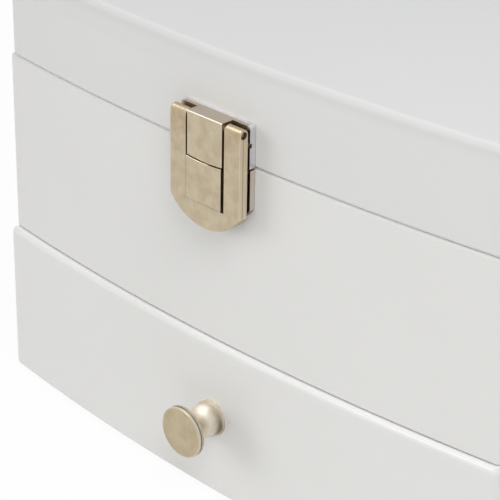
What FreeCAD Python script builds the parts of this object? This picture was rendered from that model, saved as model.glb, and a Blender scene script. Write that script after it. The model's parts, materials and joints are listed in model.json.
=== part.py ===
import FreeCAD, Part
import math
import os

# Jewelry organizer: a bow-fronted lacquered box with a hinged mirror lid, an upper
# compartment, one overlay drawer and a snap latch. Millimetres, +Z up, front towards -Y.
# The origin is on the standing surface, under the middle of the whole outline.

Vector = FreeCAD.Vector

# Overall form
CASE_WIDTH = 197.0
CASE_DEPTH = 142.0
BOW_RISE = 6.4
DRAWER_FRONT_HEIGHT = 50.2
CASE_FRONT_HEIGHT = 58.9
LID_HEIGHT = 29.6

# Boards
WALL = 9.0
FRONT_THICKNESS = 9.0
BACK_THICKNESS = 9.0
BASE_THICKNESS = 6.0
SHELF_THICKNESS = 5.0
LID_PANEL_THICKNESS = 9.0
LID_INSET = 1.6

# Rounded edges
CORNER_RADIUS = 2.2
LID_TOP_RADIUS = 2.0
LID_BOTTOM_RADIUS = 1.0
RIM_RADIUS = 1.1
CASE_FRONT_BOTTOM_RADIUS = 0.9
DRAWER_EDGE_RADIUS = 1.5

# Gaps between the tiers
LID_GAP = 0.2
DRAWER_REVEAL = 0.3
DRAWER_FRONT_LIFT = 0.3

# Drawer
DRAWER_PROUD = 2.0
DRAWER_OVERHANG = 0.6
DRAWER_WALL = 6.0
DRAWER_PANEL_THICKNESS = 3.0
DRAWER_SEAT_GAP = 0.3
DRAWER_SIDE_CLEARANCE = 0.5
DRAWER_FLOOR_CLEARANCE = 0.3
DRAWER_TOP_CLEARANCE = 4.0
DRAWER_END_CLEARANCE = 2.0
GROOVE_DEPTH = 2.5
GROOVE_LIFT = 3.0

# Linings and fittings of the compartments
LINING_THICKNESS = 1.6
LINING_GAP = 0.2
LINING_DROP = 4.0
DIVIDER_THICKNESS = 3.0
DIVIDER_DROP = 9.0
RING_SECTION_WIDTH = 82.0
SOFT_GAP = 0.3
ROLL_RADIUS = 8.0
ROLL_FLAT = 1.5
ROLL_END_BEVEL = 1.6
ROLL_SPACING = 0.6
ROLL_TOP_DROP = 10.0

# Mirror in the lid
LID_LINING_THICKNESS = 3.6
MIRROR_THICKNESS = 2.0
MIRROR_BORDER = 14.0
MIRROR_LIP = 3.0
MIRROR_GAP = 0.15

# Felt feet
FOOT_THICKNESS = 1.2
FOOT_RADIUS = 7.0
FOOT_INSET = 21.0

# Butt hinges on the back
HINGE_LENGTH = 26.0
HINGE_INSET = 42.0
HINGE_BARREL_RADIUS = 2.0
HINGE_RUNNING_GAP = 0.2
HINGE_PIN_RADIUS = 0.75
PIN_CLEARANCE = 0.05
KNUCKLE_COUNT = 5
KNUCKLE_GAP = 0.2
LEAF_THICKNESS = 1.0
LEAF_HEIGHT = 14.0
LEAF_CORNER_RADIUS = 2.0
HINGE_SCREW_SPACING = 15.0
HINGE_SCREW_OFFSET = 8.4
LID_OPEN_ANGLE = 98.0
STOP_MARGIN = 2.0

# Countersunk screws of the hinges and the latch
SCREW_SHANK_RADIUS = 0.9
SCREW_HEAD_RADIUS = 1.8
SCREW_BITE = 6.0

# Latch, which sits a little right of the middle
LATCH_SHIFT = 0.5
LATCH_PLATE_WIDTH = 26.8
LATCH_PLATE_THICKNESS = 2.1
LATCH_PLATE_TOP = 12.85
LATCH_PLATE_RADIUS = 1.0
LATCH_EDGE_GAP = 0.2
PLATE_NOTCH_DEPTH = 0.8
PLATE_NOTCH_WIDTH = 0.7
PLATE_NOTCH_HEIGHT = 1.3
PLATE_NOTCH_ABOVE_SEAM = 6.55
FLAP_WIDTH = 27.0
FLAP_THICKNESS = 3.5
FLAP_GAP = 0.7
FLAP_SHOULDER_DROP = 13.95
FLAP_BOTTOM_DROP = 20.7
FLAP_WINDOW_WIDTH = 15.0
FLAP_EDGE_RADIUS = 0.4
FLAP_WINDOW_SHIFT = 0.3
LATCH_PIN_ABOVE_SEAM = 10.95
LATCH_PIN_RADIUS = 0.75
LATCH_PIN_RECESS = 0.9
PIN_RECESS_RADIUS = 1.1
BLOCK_SIDE_GAP = 0.7
BLOCK_SPLIT_DROP = 0.25
BLOCK_SPLIT_SAG = 0.45
BLOCK_SPLIT_GAP = 0.4
BLOCK_EDGE_RADIUS = 0.25
KEEPER_PLATE_THICKNESS = 1.8
KEEPER_BLOCK_DROP = 13.45
KEEPER_SHOULDER_DROP = 12.15
KEEPER_BOTTOM_DROP = 19.15
KEEPER_SIDE_SHIFT = 0.34
CATCH_GAP = 0.06
LATCH_SCREW_ABOVE_SEAM = 5.2
LATCH_SCREW_BELOW_SEAM = 6.2

# Drawer knob
KNOB_LENGTH = 12.5
KNOB_DISC_RADIUS = 7.9
KNOB_DISC_THICKNESS = 1.9
KNOB_GROOVE_WIDTH = 0.35
KNOB_GROOVE_DEPTH = 0.4
KNOB_EDGE = 0.3
KNOB_FLANGE_RADIUS = 5.65
KNOB_FLANGE_THICKNESS = 0.9
KNOB_DOME_RADIUS = 5.0
KNOB_DOME_LENGTH = 5.6
KNOB_DOME_BULGE = 1.15
KNOB_NECK_RADIUS = 2.7
KNOB_FLARE_HOLLOW = 1.1
KNOB_ABOVE_MIDDLE = 0.5
KNOB_SCREW_RADIUS = 2.0
KNOB_SCREW_BITE = 5.5
KNOB_SCREW_CLEARANCE = 0.25
KNOB_SCREW_HEAD_RADIUS = 3.6
KNOB_SCREW_HEAD_THICKNESS = 2.3
KNOB_SCREW_HEAD_BEVEL = 0.9

# How close an edge has to lie to a plane to count as being on it
ON_PLANE = 0.001

# Levels above the standing surface
base_bottom = FOOT_THICKNESS
base_top = base_bottom + BASE_THICKNESS
drawer_front_bottom = base_bottom + DRAWER_FRONT_LIFT
drawer_front_top = drawer_front_bottom + DRAWER_FRONT_HEIGHT
shelf_bottom = drawer_front_top + DRAWER_REVEAL
shelf_top = shelf_bottom + SHELF_THICKNESS
floor_top = shelf_top + LINING_THICKNESS
rim = shelf_bottom + CASE_FRONT_HEIGHT
seam = rim + LID_GAP / 2
lid_bottom = rim + LID_GAP
lid_top = lid_bottom + LID_HEIGHT
lid_panel_bottom = lid_top - LID_PANEL_THICKNESS
lid_lining_bottom = lid_panel_bottom - LID_LINING_THICKNESS
divider_top = rim - DIVIDER_DROP
lining_top = rim - LINING_DROP
ring_bed_top = rim - ROLL_TOP_DROP - 2 * ROLL_RADIUS + ROLL_FLAT

# The hinge's stop lug meets the case leaf just past the widest opening
hinge_offset = HINGE_BARREL_RADIUS + HINGE_RUNNING_GAP
leaf_to_axis = hinge_offset - LEAF_THICKNESS
stop_angle = math.radians(LID_OPEN_ANGLE + STOP_MARGIN)
lug_half = leaf_to_axis / 2
lug_reach = (leaf_to_axis - lug_half * math.sin(stop_angle)) / -math.cos(stop_angle)

# Depth, with the middle of the whole outline at zero
front_reach = BOW_RISE + DRAWER_PROUD + KNOB_LENGTH
back_reach = hinge_offset + max(lug_reach, HINGE_BARREL_RADIUS)
front = (front_reach - CASE_DEPTH - back_reach) / 2
back = front + CASE_DEPTH
inner_front = front + FRONT_THICKNESS
inner_back = back - BACK_THICKNESS
hinge_y = back + hinge_offset

# Widths from the middle
half_width = CASE_WIDTH / 2
inner_half = half_width - WALL
lid_half = half_width - LID_INSET
lid_inner_half = lid_half - WALL
lined_half = inner_half - LINING_THICKNESS
lined_front = inner_front + LINING_THICKNESS
lined_back = inner_back - LINING_THICKNESS
long_divider_left = -lined_half + RING_SECTION_WIDTH
long_divider_right = long_divider_left + DIVIDER_THICKNESS

# The bow is one arc through the front corners
bow_radius = (half_width ** 2 + BOW_RISE ** 2) / (2 * BOW_RISE)
bow_centre = front - BOW_RISE + bow_radius

# Drawer box
drawer_half = inner_half - DRAWER_SIDE_CLEARANCE
drawer_inner_half = drawer_half - DRAWER_WALL
drawer_seat = inner_front - DRAWER_SEAT_GAP
drawer_end = inner_back - DRAWER_END_CLEARANCE
drawer_inner_end = drawer_end - DRAWER_WALL
drawer_low = base_top + DRAWER_FLOOR_CLEARANCE
drawer_high = shelf_bottom - DRAWER_TOP_CLEARANCE
drawer_panel_low = drawer_low + GROOVE_LIFT
drawer_panel_high = drawer_panel_low + DRAWER_PANEL_THICKNESS
drawer_floor_top = drawer_panel_high + LINING_THICKNESS
drawer_face = front - BOW_RISE - DRAWER_PROUD
knob_z = drawer_front_bottom + DRAWER_FRONT_HEIGHT / 2 + KNOB_ABOVE_MIDDLE

# Latch, measured out from the middle of the bow
latch_face = front - BOW_RISE
plate_front = latch_face - LATCH_PLATE_THICKNESS
keeper_front = latch_face - KEEPER_PLATE_THICKNESS
flap_back = plate_front - FLAP_GAP
flap_front = flap_back - FLAP_THICKNESS
latch_pin_y = (flap_back + flap_front) / 2
latch_pin_z = seam + LATCH_PIN_ABOVE_SEAM
block_half = FLAP_WINDOW_WIDTH / 2 - BLOCK_SIDE_GAP
latch_screw_x = (block_half + LATCH_PLATE_WIDTH / 2) / 2


def box(x0, x1, y0, y1, z0, z1):
    """A block between two corners."""
    return Part.makeBox(x1 - x0, y1 - y0, z1 - z0, Vector(x0, y0, z0))


def cylinder(radius, start, end):
    """A round bar between two points."""
    return Part.makeCylinder(radius, (end - start).Length, start, end - start)


def rounded(shape, radius, chosen):
    """The shape with every edge whose bounds are chosen rounded."""
    return shape.makeFillet(radius, [edge for edge in shape.Edges if chosen(edge.BoundBox)])


def bevelled(shape, size, chosen):
    """The shape with every edge whose bounds are chosen cut off at 45 degrees."""
    return shape.makeChamfer(size, [edge for edge in shape.Edges if chosen(edge.BoundBox)])


def upright(bounds):
    """True for a vertical edge."""
    return bounds.XLength < ON_PLANE and bounds.YLength < ON_PLANE


def at_height(bounds, level):
    """True for an edge that lies in a horizontal plane."""
    return abs(bounds.ZMin - level) < ON_PLANE and abs(bounds.ZMax - level) < ON_PLANE


def bow_y(x, proud):
    """Depth of the bowed face at x, standing proud of the case front."""
    return bow_centre - math.sqrt((bow_radius + proud) ** 2 - x ** 2)


def bow_board(half, proud, back_y, low, high):
    """A board with a bowed front, a flat back and rounded front corners."""
    corner_y = bow_y(half, proud)
    left = Vector(-half, corner_y, low)
    right = Vector(half, corner_y, low)
    back_left = Vector(-half, back_y, low)
    back_right = Vector(half, back_y, low)
    outline = Part.Wire([
        Part.makeLine(back_left, back_right),
        Part.makeLine(back_right, right),
        Part.Arc(right, Vector(0, bow_y(0, proud), low), left).toShape(),
        Part.makeLine(left, back_left),
    ])
    board = Part.Face(outline).extrude(Vector(0, 0, high - low))
    return rounded(board, CORNER_RADIUS, lambda b: upright(b) and b.YMin < back_y - ON_PLANE)


def front_edges(level, back_y):
    """Test for the edges at one level that show from the front and the ends."""
    return lambda b: at_height(b, level) and b.YMin < back_y - ON_PLANE


def side_board(side, outer, low, high):
    """A plain side wall behind the front board, with its outer back corner rounded."""
    edges = sorted((side * (outer - WALL), side * outer))
    board = box(edges[0], edges[1], inner_front, back, low, high)
    outer_x = side * outer
    return rounded(
        board,
        CORNER_RADIUS,
        lambda b: upright(b) and abs(b.XMin - outer_x) < ON_PLANE and b.YMin > inner_front + ON_PLANE,
    )


def outer_edges(side, outer, level):
    """Test for the outside edges of a side wall at one level, round its back corner."""
    inside = outer - WALL
    return lambda b: (
        at_height(b, level)
        and max(side * b.XMin, side * b.XMax) > inside + ON_PLANE
        and b.YMax > inner_front + ON_PLANE
        and not (b.XLength < ON_PLANE and abs(side * b.XMin - inside) < ON_PLANE)
    )


def countersunk_screw(x, z, plate_y, inward):
    """A countersunk screw through a plate, its head flush with the plate's face."""
    depth = SCREW_HEAD_RADIUS - SCREW_SHANK_RADIUS
    along = Vector(0, inward, 0)
    face = Vector(x, plate_y, z)
    head = Part.makeCone(SCREW_HEAD_RADIUS, SCREW_SHANK_RADIUS, depth, face, along)
    shank = cylinder(SCREW_SHANK_RADIUS, face, face + along * (depth + SCREW_BITE))
    return head.fuse(shank).removeSplitter()


def hinge_centres():
    """The middle of each hinge along the back."""
    place = half_width - HINGE_INSET
    return {"left": -place, "right": place}


def hinge_screws(direction):
    """The screws of both hinges, below the seam (-1) or above it (+1)."""
    level = seam + direction * HINGE_SCREW_OFFSET
    screws = []
    for centre in hinge_centres().values():
        for side in (-1, 1):
            x = centre + side * HINGE_SCREW_SPACING / 2
            screws.append(countersunk_screw(x, level, back + LEAF_THICKNESS, -1))
    return screws


def latch_screws(plate_y, level):
    """The pair of screws under the flap's legs."""
    return [countersunk_screw(LATCH_SHIFT + side * latch_screw_x, level, plate_y, 1) for side in (-1, 1)]


def drilled(shape, tools):
    """The shape with every tool cut out of it."""
    for tool in tools:
        shape = shape.cut(tool)
    return shape


case_hinge_screws = hinge_screws(-1)
lid_hinge_screws = hinge_screws(1)
latch_plate_screws = latch_screws(plate_front, seam + LATCH_SCREW_ABOVE_SEAM)
keeper_screws = latch_screws(keeper_front, seam - LATCH_SCREW_BELOW_SEAM)


def case_front():
    """The bowed board of the middle tier."""
    board = bow_board(half_width, 0, inner_front, shelf_bottom, rim)
    board = rounded(board, RIM_RADIUS, front_edges(rim, inner_front))
    board = rounded(board, CASE_FRONT_BOTTOM_RADIUS, front_edges(shelf_bottom, inner_front))
    return drilled(board, keeper_screws)


def case_side(side):
    """One side wall of the case, full height."""
    board = side_board(side, half_width, base_bottom, rim)
    return rounded(board, RIM_RADIUS, outer_edges(side, half_width, rim))


def case_back():
    """The back wall, let in between the sides."""
    board = box(-inner_half, inner_half, inner_back, back, base_bottom, rim)
    board = rounded(board, RIM_RADIUS, lambda b: at_height(b, rim) and b.YMin > back - ON_PLANE)
    return drilled(board, case_hinge_screws)


def felt_feet():
    """Four felt discs under the base."""
    feet = []
    for x in (-half_width + FOOT_INSET, half_width - FOOT_INSET):
        for y in (inner_front + FOOT_INSET - WALL, back - FOOT_INSET):
            feet.append(cylinder(FOOT_RADIUS, Vector(x, y, 0), Vector(x, y, FOOT_THICKNESS)))
    return Part.makeCompound(feet)


def wall_linings(half, front_y, back_y, low, high):
    """Four lining boards round a compartment, named by the wall that they stand on."""
    inside = half - LINING_THICKNESS
    return {
        "left": box(-half, -inside, front_y, back_y, low, high),
        "right": box(inside, half, front_y, back_y, low, high),
        "front": box(-inside, inside, front_y, front_y + LINING_THICKNESS, low, high),
        "back": box(-inside, inside, back_y - LINING_THICKNESS, back_y, low, high),
    }


def floor_lining(half, front_y, back_y, low):
    """The lining board on a compartment's floor."""
    return box(-half + LINING_GAP, half - LINING_GAP, front_y + LINING_GAP, back_y - LINING_GAP,
               low, low + LINING_THICKNESS)


def long_divider():
    """The divider between the ring section and the open compartments."""
    return box(long_divider_left, long_divider_right, lined_front, lined_back, floor_top, divider_top)


def cross_divider(share):
    """A divider across the open compartments, at a share of their depth."""
    middle = lined_front + (lined_back - lined_front) * share
    half = DIVIDER_THICKNESS / 2
    return box(long_divider_right, lined_half, middle - half, middle + half, floor_top, divider_top)


def ring_bed():
    """The foam block that lifts the ring rolls."""
    return box(-lined_half + SOFT_GAP, long_divider_left - SOFT_GAP, lined_front + SOFT_GAP,
               lined_back - SOFT_GAP, floor_top, ring_bed_top)


def ring_rolls():
    """Padded rolls side by side, each with a flat underside and bevelled ends."""
    left = -lined_half + SOFT_GAP
    right = long_divider_left - SOFT_GAP
    pitch = 2 * ROLL_RADIUS + ROLL_SPACING
    room = lined_back - lined_front - 2 * SOFT_GAP
    count = int((room + ROLL_SPACING) // pitch)
    first = (lined_front + lined_back - (count - 1) * pitch) / 2
    axis_z = ring_bed_top + ROLL_RADIUS - ROLL_FLAT
    under = box(left, right, lined_front, lined_back, axis_z - ROLL_RADIUS, ring_bed_top)
    rolls = []
    for number in range(count):
        y = first + number * pitch
        roll = cylinder(ROLL_RADIUS, Vector(left, y, axis_z), Vector(right, y, axis_z))
        roll = bevelled(roll, ROLL_END_BEVEL, lambda b: b.XLength < ON_PLANE)
        rolls.append(roll.cut(under))
    return Part.makeCompound(rolls)


def lid_panel():
    """The lid's top, with a soft edge all round."""
    board = bow_board(lid_half, 0, back, lid_panel_bottom, lid_top)
    board = rounded(board, CORNER_RADIUS, lambda b: upright(b) and b.YMin > back - ON_PLANE)
    return rounded(board, LID_TOP_RADIUS, lambda b: at_height(b, lid_top))


def lid_front_rail():
    """The lid's bowed front rail."""
    board = bow_board(lid_half, 0, inner_front, lid_bottom, lid_panel_bottom)
    board = rounded(board, LID_BOTTOM_RADIUS, front_edges(lid_bottom, inner_front))
    return drilled(board, latch_plate_screws)


def lid_side_rail(side):
    """One side rail of the lid."""
    board = side_board(side, lid_half, lid_bottom, lid_panel_bottom)
    return rounded(board, LID_BOTTOM_RADIUS, outer_edges(side, lid_half, lid_bottom))


def lid_back_rail():
    """The lid's back rail, let in between the side rails."""
    board = box(-lid_inner_half, lid_inner_half, inner_back, back, lid_bottom, lid_panel_bottom)
    on_back = back - ON_PLANE
    board = rounded(board, LID_BOTTOM_RADIUS, lambda b: at_height(b, lid_bottom) and b.YMin > on_back)
    return drilled(board, lid_hinge_screws)


def mirror_block(margin, low, high):
    """A block of the mirror's window, grown by a margin on every side."""
    inset = MIRROR_BORDER - margin
    side = lid_inner_half - inset
    return box(-side, side, inner_front + inset, inner_back - inset, low, high)


def lid_lining():
    """The lining board in the lid, whose window keeps the mirror in a rebate."""
    board = box(-lid_inner_half + LINING_GAP, lid_inner_half - LINING_GAP, inner_front + LINING_GAP,
                inner_back - LINING_GAP, lid_lining_bottom, lid_panel_bottom)
    window = mirror_block(0, lid_lining_bottom, lid_panel_bottom)
    rebate = mirror_block(MIRROR_LIP + MIRROR_GAP, lid_panel_bottom - MIRROR_THICKNESS, lid_panel_bottom)
    return drilled(board, [window, rebate])


def knuckle_spans(centre, first):
    """Every second knuckle of a hinge along X, from the given one."""
    pitch = HINGE_LENGTH / KNUCKLE_COUNT
    left = centre - HINGE_LENGTH / 2
    gap = KNUCKLE_GAP / 2
    return [(left + i * pitch + gap, left + (i + 1) * pitch - gap) for i in range(first, KNUCKLE_COUNT, 2)]


def hinge_leaf(centre, direction, first_knuckle, screws):
    """A hinge leaf on the back, below the seam (-1) or above it (+1)."""
    near = seam + direction * hinge_offset
    far = seam + direction * LEAF_HEIGHT
    left = centre - HINGE_LENGTH / 2
    right = centre + HINGE_LENGTH / 2
    leaf = box(left, right, back, back + LEAF_THICKNESS, min(near, far), max(near, far))
    leaf = rounded(leaf, LEAF_CORNER_RADIUS, lambda b: at_height(b, far) and b.XLength < ON_PLANE)
    for x0, x1 in knuckle_spans(centre, first_knuckle):
        strap = box(x0, x1, back, back + LEAF_THICKNESS, min(seam, near), max(seam, near))
        barrel = cylinder(HINGE_BARREL_RADIUS, Vector(x0, hinge_y, seam), Vector(x1, hinge_y, seam))
        leaf = leaf.fuse([strap, barrel])
    if direction > 0:
        lugs = [
            box(x0, x1, hinge_y, hinge_y + lug_reach, seam - lug_half, seam + lug_half)
            for x0, x1 in knuckle_spans(centre, first_knuckle)
        ]
        leaf = leaf.fuse(lugs)
    bore_radius = HINGE_PIN_RADIUS + PIN_CLEARANCE
    bore = cylinder(bore_radius, Vector(left, hinge_y, seam), Vector(right, hinge_y, seam))
    return drilled(leaf.removeSplitter(), [bore] + screws)


def hinge_pin(centre):
    """The pin through one hinge's knuckles."""
    half = HINGE_LENGTH / 2 - KNUCKLE_GAP / 2
    left = Vector(centre - half, hinge_y, seam)
    right = Vector(centre + half, hinge_y, seam)
    return cylinder(HINGE_PIN_RADIUS, left, right)


def shield_face(half, top, shoulder, bottom, y, shift):
    """A flat shield: straight sides that end in one arc at the bottom."""
    top_left = Vector(shift - half, y, top)
    top_right = Vector(shift + half, y, top)
    low_left = Vector(shift - half, y, shoulder)
    low_right = Vector(shift + half, y, shoulder)
    return Part.Face(Part.Wire([
        Part.makeLine(top_left, low_left),
        Part.Arc(low_left, Vector(shift, y, bottom), low_right).toShape(),
        Part.makeLine(low_right, top_right),
        Part.makeLine(top_right, top_left),
    ]))


def sagging_block(middle, top, bottom, back_y):
    """A block of the latch from the flap's face back, whose underside is one arc."""
    left = middle - block_half
    right = middle + block_half
    top_left = Vector(left, flap_front, top)
    top_right = Vector(right, flap_front, top)
    low_left = Vector(left, flap_front, bottom)
    low_right = Vector(right, flap_front, bottom)
    lowest = Vector(middle, flap_front, bottom - BLOCK_SPLIT_SAG)
    face = Part.Face(Part.Wire([
        Part.makeLine(top_left, low_left),
        Part.Arc(low_left, lowest, low_right).toShape(),
        Part.makeLine(low_right, top_right),
        Part.makeLine(top_right, top_left),
    ]))
    return face.extrude(Vector(0, back_y - flap_front, 0))


def on_latch_face(bounds):
    """True for an edge in the plane of the flap's face."""
    return abs(bounds.YMax - flap_front) < ON_PLANE


def latch_plate():
    """The lid's half of the latch: a plate with the upper block, bored for the flap's pin."""
    left = LATCH_SHIFT - LATCH_PLATE_WIDTH / 2
    right = LATCH_SHIFT + LATCH_PLATE_WIDTH / 2
    top = seam + LATCH_PLATE_TOP
    plate = box(left, right, plate_front, latch_face, lid_bottom + LATCH_EDGE_GAP, top)
    plate = rounded(plate, LATCH_PLATE_RADIUS, lambda b: at_height(b, top) and b.XLength < ON_PLANE)
    block = sagging_block(LATCH_SHIFT, top, seam - BLOCK_SPLIT_DROP, plate_front)
    block = rounded(block, BLOCK_EDGE_RADIUS, on_latch_face)
    pin_hole = cylinder(
        LATCH_PIN_RADIUS,
        Vector(left, latch_pin_y, latch_pin_z),
        Vector(right, latch_pin_y, latch_pin_z),
    )
    notch_low = seam + PLATE_NOTCH_ABOVE_SEAM
    notch = box(right - PLATE_NOTCH_DEPTH, right, plate_front, plate_front + PLATE_NOTCH_WIDTH,
                notch_low, notch_low + PLATE_NOTCH_HEIGHT)
    return drilled(plate.fuse(block).removeSplitter(), [pin_hole, notch] + latch_plate_screws)


def latch_keeper():
    """The case's half of the latch: a shield plate with the block that the flap snaps round."""
    shield = shield_face(LATCH_PLATE_WIDTH / 2, rim - LATCH_EDGE_GAP, seam - KEEPER_SHOULDER_DROP,
                         seam - KEEPER_BOTTOM_DROP, keeper_front, LATCH_SHIFT)
    plate = shield.extrude(Vector(0, KEEPER_PLATE_THICKNESS, 0))
    middle = LATCH_SHIFT - KEEPER_SIDE_SHIFT
    right = middle + block_half
    split = seam - BLOCK_SPLIT_DROP
    low = seam - KEEPER_BLOCK_DROP
    block = box(middle - block_half, right, flap_front, keeper_front, low, split)
    block = block.cut(sagging_block(middle, split, split - BLOCK_SPLIT_GAP, keeper_front))
    block = rounded(
        block,
        BLOCK_EDGE_RADIUS,
        lambda b: on_latch_face(b) and b.XMax > right - ON_PLANE and b.ZMax > low + ON_PLANE,
    )
    return drilled(plate.fuse(block).removeSplitter(), keeper_screws)


def latch_flap():
    """The swinging shield, open round the two blocks, with round knuckles on the pin."""
    middle = LATCH_SHIFT
    half = FLAP_WIDTH / 2
    window_middle = middle + FLAP_WINDOW_SHIFT
    window_half = FLAP_WINDOW_WIDTH / 2
    radius = FLAP_THICKNESS / 2
    top = latch_pin_z + radius
    bottom = seam - FLAP_BOTTOM_DROP
    shield = shield_face(half, top, seam - FLAP_SHOULDER_DROP, bottom, flap_front, middle)
    flap = shield.extrude(Vector(0, FLAP_THICKNESS, 0))
    window = box(window_middle - window_half, window_middle + window_half, flap_front, flap_back,
                 seam - KEEPER_BLOCK_DROP - CATCH_GAP, top)
    left = Vector(middle - half, latch_pin_y, latch_pin_z)
    right = Vector(middle + half, latch_pin_y, latch_pin_z)
    below = box(middle - half, middle + half, flap_front, flap_back, bottom, latch_pin_z)
    flap = flap.cut(window).common(below.fuse(cylinder(radius, left, right))).removeSplitter()
    outside = half - ON_PLANE
    flap = rounded(
        flap,
        FLAP_EDGE_RADIUS,
        lambda b: on_latch_face(b) and max(middle - b.XMin, b.XMax - middle) > outside,
    )
    inward = Vector(LATCH_PIN_RECESS, 0, 0)
    return drilled(flap, [
        cylinder(LATCH_PIN_RADIUS + PIN_CLEARANCE, left, right),
        cylinder(PIN_RECESS_RADIUS, left, left + inward),
        cylinder(PIN_RECESS_RADIUS, right - inward, right),
    ])


def latch_pin():
    """The latch pin, its ends level with the bottom of the flap's recesses."""
    half = FLAP_WIDTH / 2 - LATCH_PIN_RECESS
    return cylinder(
        LATCH_PIN_RADIUS,
        Vector(LATCH_SHIFT - half, latch_pin_y, latch_pin_z),
        Vector(LATCH_SHIFT + half, latch_pin_y, latch_pin_z),
    )


def knob_screw():
    """The machine screw from inside the drawer into the knob."""
    seat = Vector(0, drawer_seat, knob_z)
    head_end = drawer_seat + KNOB_SCREW_HEAD_THICKNESS
    head = cylinder(KNOB_SCREW_HEAD_RADIUS, seat, Vector(0, head_end, knob_z))
    head = bevelled(head, KNOB_SCREW_HEAD_BEVEL, lambda b: b.YMin > head_end - ON_PLANE)
    shank = cylinder(KNOB_SCREW_RADIUS, seat, Vector(0, drawer_face - KNOB_SCREW_BITE, knob_z))
    return head.fuse(shank).removeSplitter()


def arc_through(start, end, rise):
    """An arc from start to end whose middle stands off the chord, to the right of the way along it."""
    chord = end - start
    side = Vector(chord.y, -chord.x, 0).normalize()
    return Part.Arc(start, (start + end) * 0.5 + side * rise, end).toShape()


def knob():
    """The turned knob: flange, domed foot, neck and a flat disc with a grooved rim, bored for its screw."""
    def at(radius, out):
        return Vector(radius, drawer_face - out, knob_z)

    dome_end = KNOB_FLANGE_THICKNESS + KNOB_DOME_LENGTH
    disc_back = KNOB_LENGTH - KNOB_DISC_THICKNESS
    groove_back = disc_back + (KNOB_DISC_THICKNESS - KNOB_GROOVE_WIDTH) / 2
    groove_front = groove_back + KNOB_GROOVE_WIDTH
    groove_radius = KNOB_DISC_RADIUS - KNOB_GROOVE_DEPTH
    foot = [
        at(0, 0), at(KNOB_FLANGE_RADIUS, 0), at(KNOB_FLANGE_RADIUS, KNOB_FLANGE_THICKNESS),
        at(KNOB_DOME_RADIUS, KNOB_FLANGE_THICKNESS),
    ]
    disc = [
        at(KNOB_DISC_RADIUS, disc_back), at(KNOB_DISC_RADIUS, groove_back), at(groove_radius, groove_back),
        at(groove_radius, groove_front), at(KNOB_DISC_RADIUS, groove_front),
        at(KNOB_DISC_RADIUS, KNOB_LENGTH - KNOB_EDGE), at(KNOB_DISC_RADIUS - KNOB_EDGE, KNOB_LENGTH),
        at(0, KNOB_LENGTH), foot[0],
    ]
    neck = at(KNOB_NECK_RADIUS, dome_end)
    edges = [Part.makeLine(a, b) for a, b in zip(foot, foot[1:])]
    edges.append(arc_through(foot[-1], neck, -KNOB_DOME_BULGE))
    edges.append(arc_through(neck, disc[0], KNOB_FLARE_HOLLOW))
    edges += [Part.makeLine(a, b) for a, b in zip(disc, disc[1:])]
    turned = Part.Face(Part.Wire(edges)).revolve(at(0, 0), Vector(0, 1, 0), 360)
    return turned.cut(knob_screw())


def drawer_bottom():
    """The drawer's floor panel, held in grooves."""
    half = drawer_inner_half + GROOVE_DEPTH
    return box(-half, half, drawer_seat - GROOVE_DEPTH, drawer_end, drawer_panel_low, drawer_panel_high)


def drawer_front():
    """The overlay front: bowed, proud of the case, grooved for the floor and bored for the knob."""
    board = bow_board(half_width + DRAWER_OVERHANG, DRAWER_PROUD, drawer_seat, drawer_front_bottom,
                      drawer_front_top)
    board = rounded(board, DRAWER_EDGE_RADIUS, front_edges(drawer_front_top, drawer_seat))
    board = rounded(board, DRAWER_EDGE_RADIUS, front_edges(drawer_front_bottom, drawer_seat))
    hole = cylinder(KNOB_SCREW_RADIUS + KNOB_SCREW_CLEARANCE, Vector(0, drawer_face, knob_z),
                    Vector(0, drawer_seat, knob_z))
    return drilled(board, [drawer_bottom(), hole])


def drawer_side(side):
    """One drawer side, grooved for the floor."""
    edges = sorted((side * drawer_half, side * drawer_inner_half))
    board = box(edges[0], edges[1], drawer_seat, drawer_end, drawer_low, drawer_high)
    return board.cut(drawer_bottom())


def drawer_divider(side):
    """A divider from front to back in the drawer, a third of the way across."""
    middle = side * (drawer_inner_half - LINING_THICKNESS) / 3
    half = DIVIDER_THICKNESS / 2
    low_y = drawer_seat + LINING_THICKNESS
    high_y = drawer_inner_end - LINING_THICKNESS
    return box(middle - half, middle + half, low_y, high_y, drawer_floor_top, drawer_high - DIVIDER_DROP)


def drawer_linings():
    """The drawer's wall linings, the front one holed round the knob's screw."""
    linings = wall_linings(drawer_inner_half, drawer_seat, drawer_inner_end, drawer_floor_top,
                           drawer_high - LINING_DROP)
    head = KNOB_SCREW_HEAD_RADIUS + KNOB_SCREW_CLEARANCE
    hole = cylinder(head, Vector(0, drawer_seat, knob_z), Vector(0, drawer_seat + LINING_THICKNESS, knob_z))
    linings["front"] = linings["front"].cut(hole)
    return linings


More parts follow.
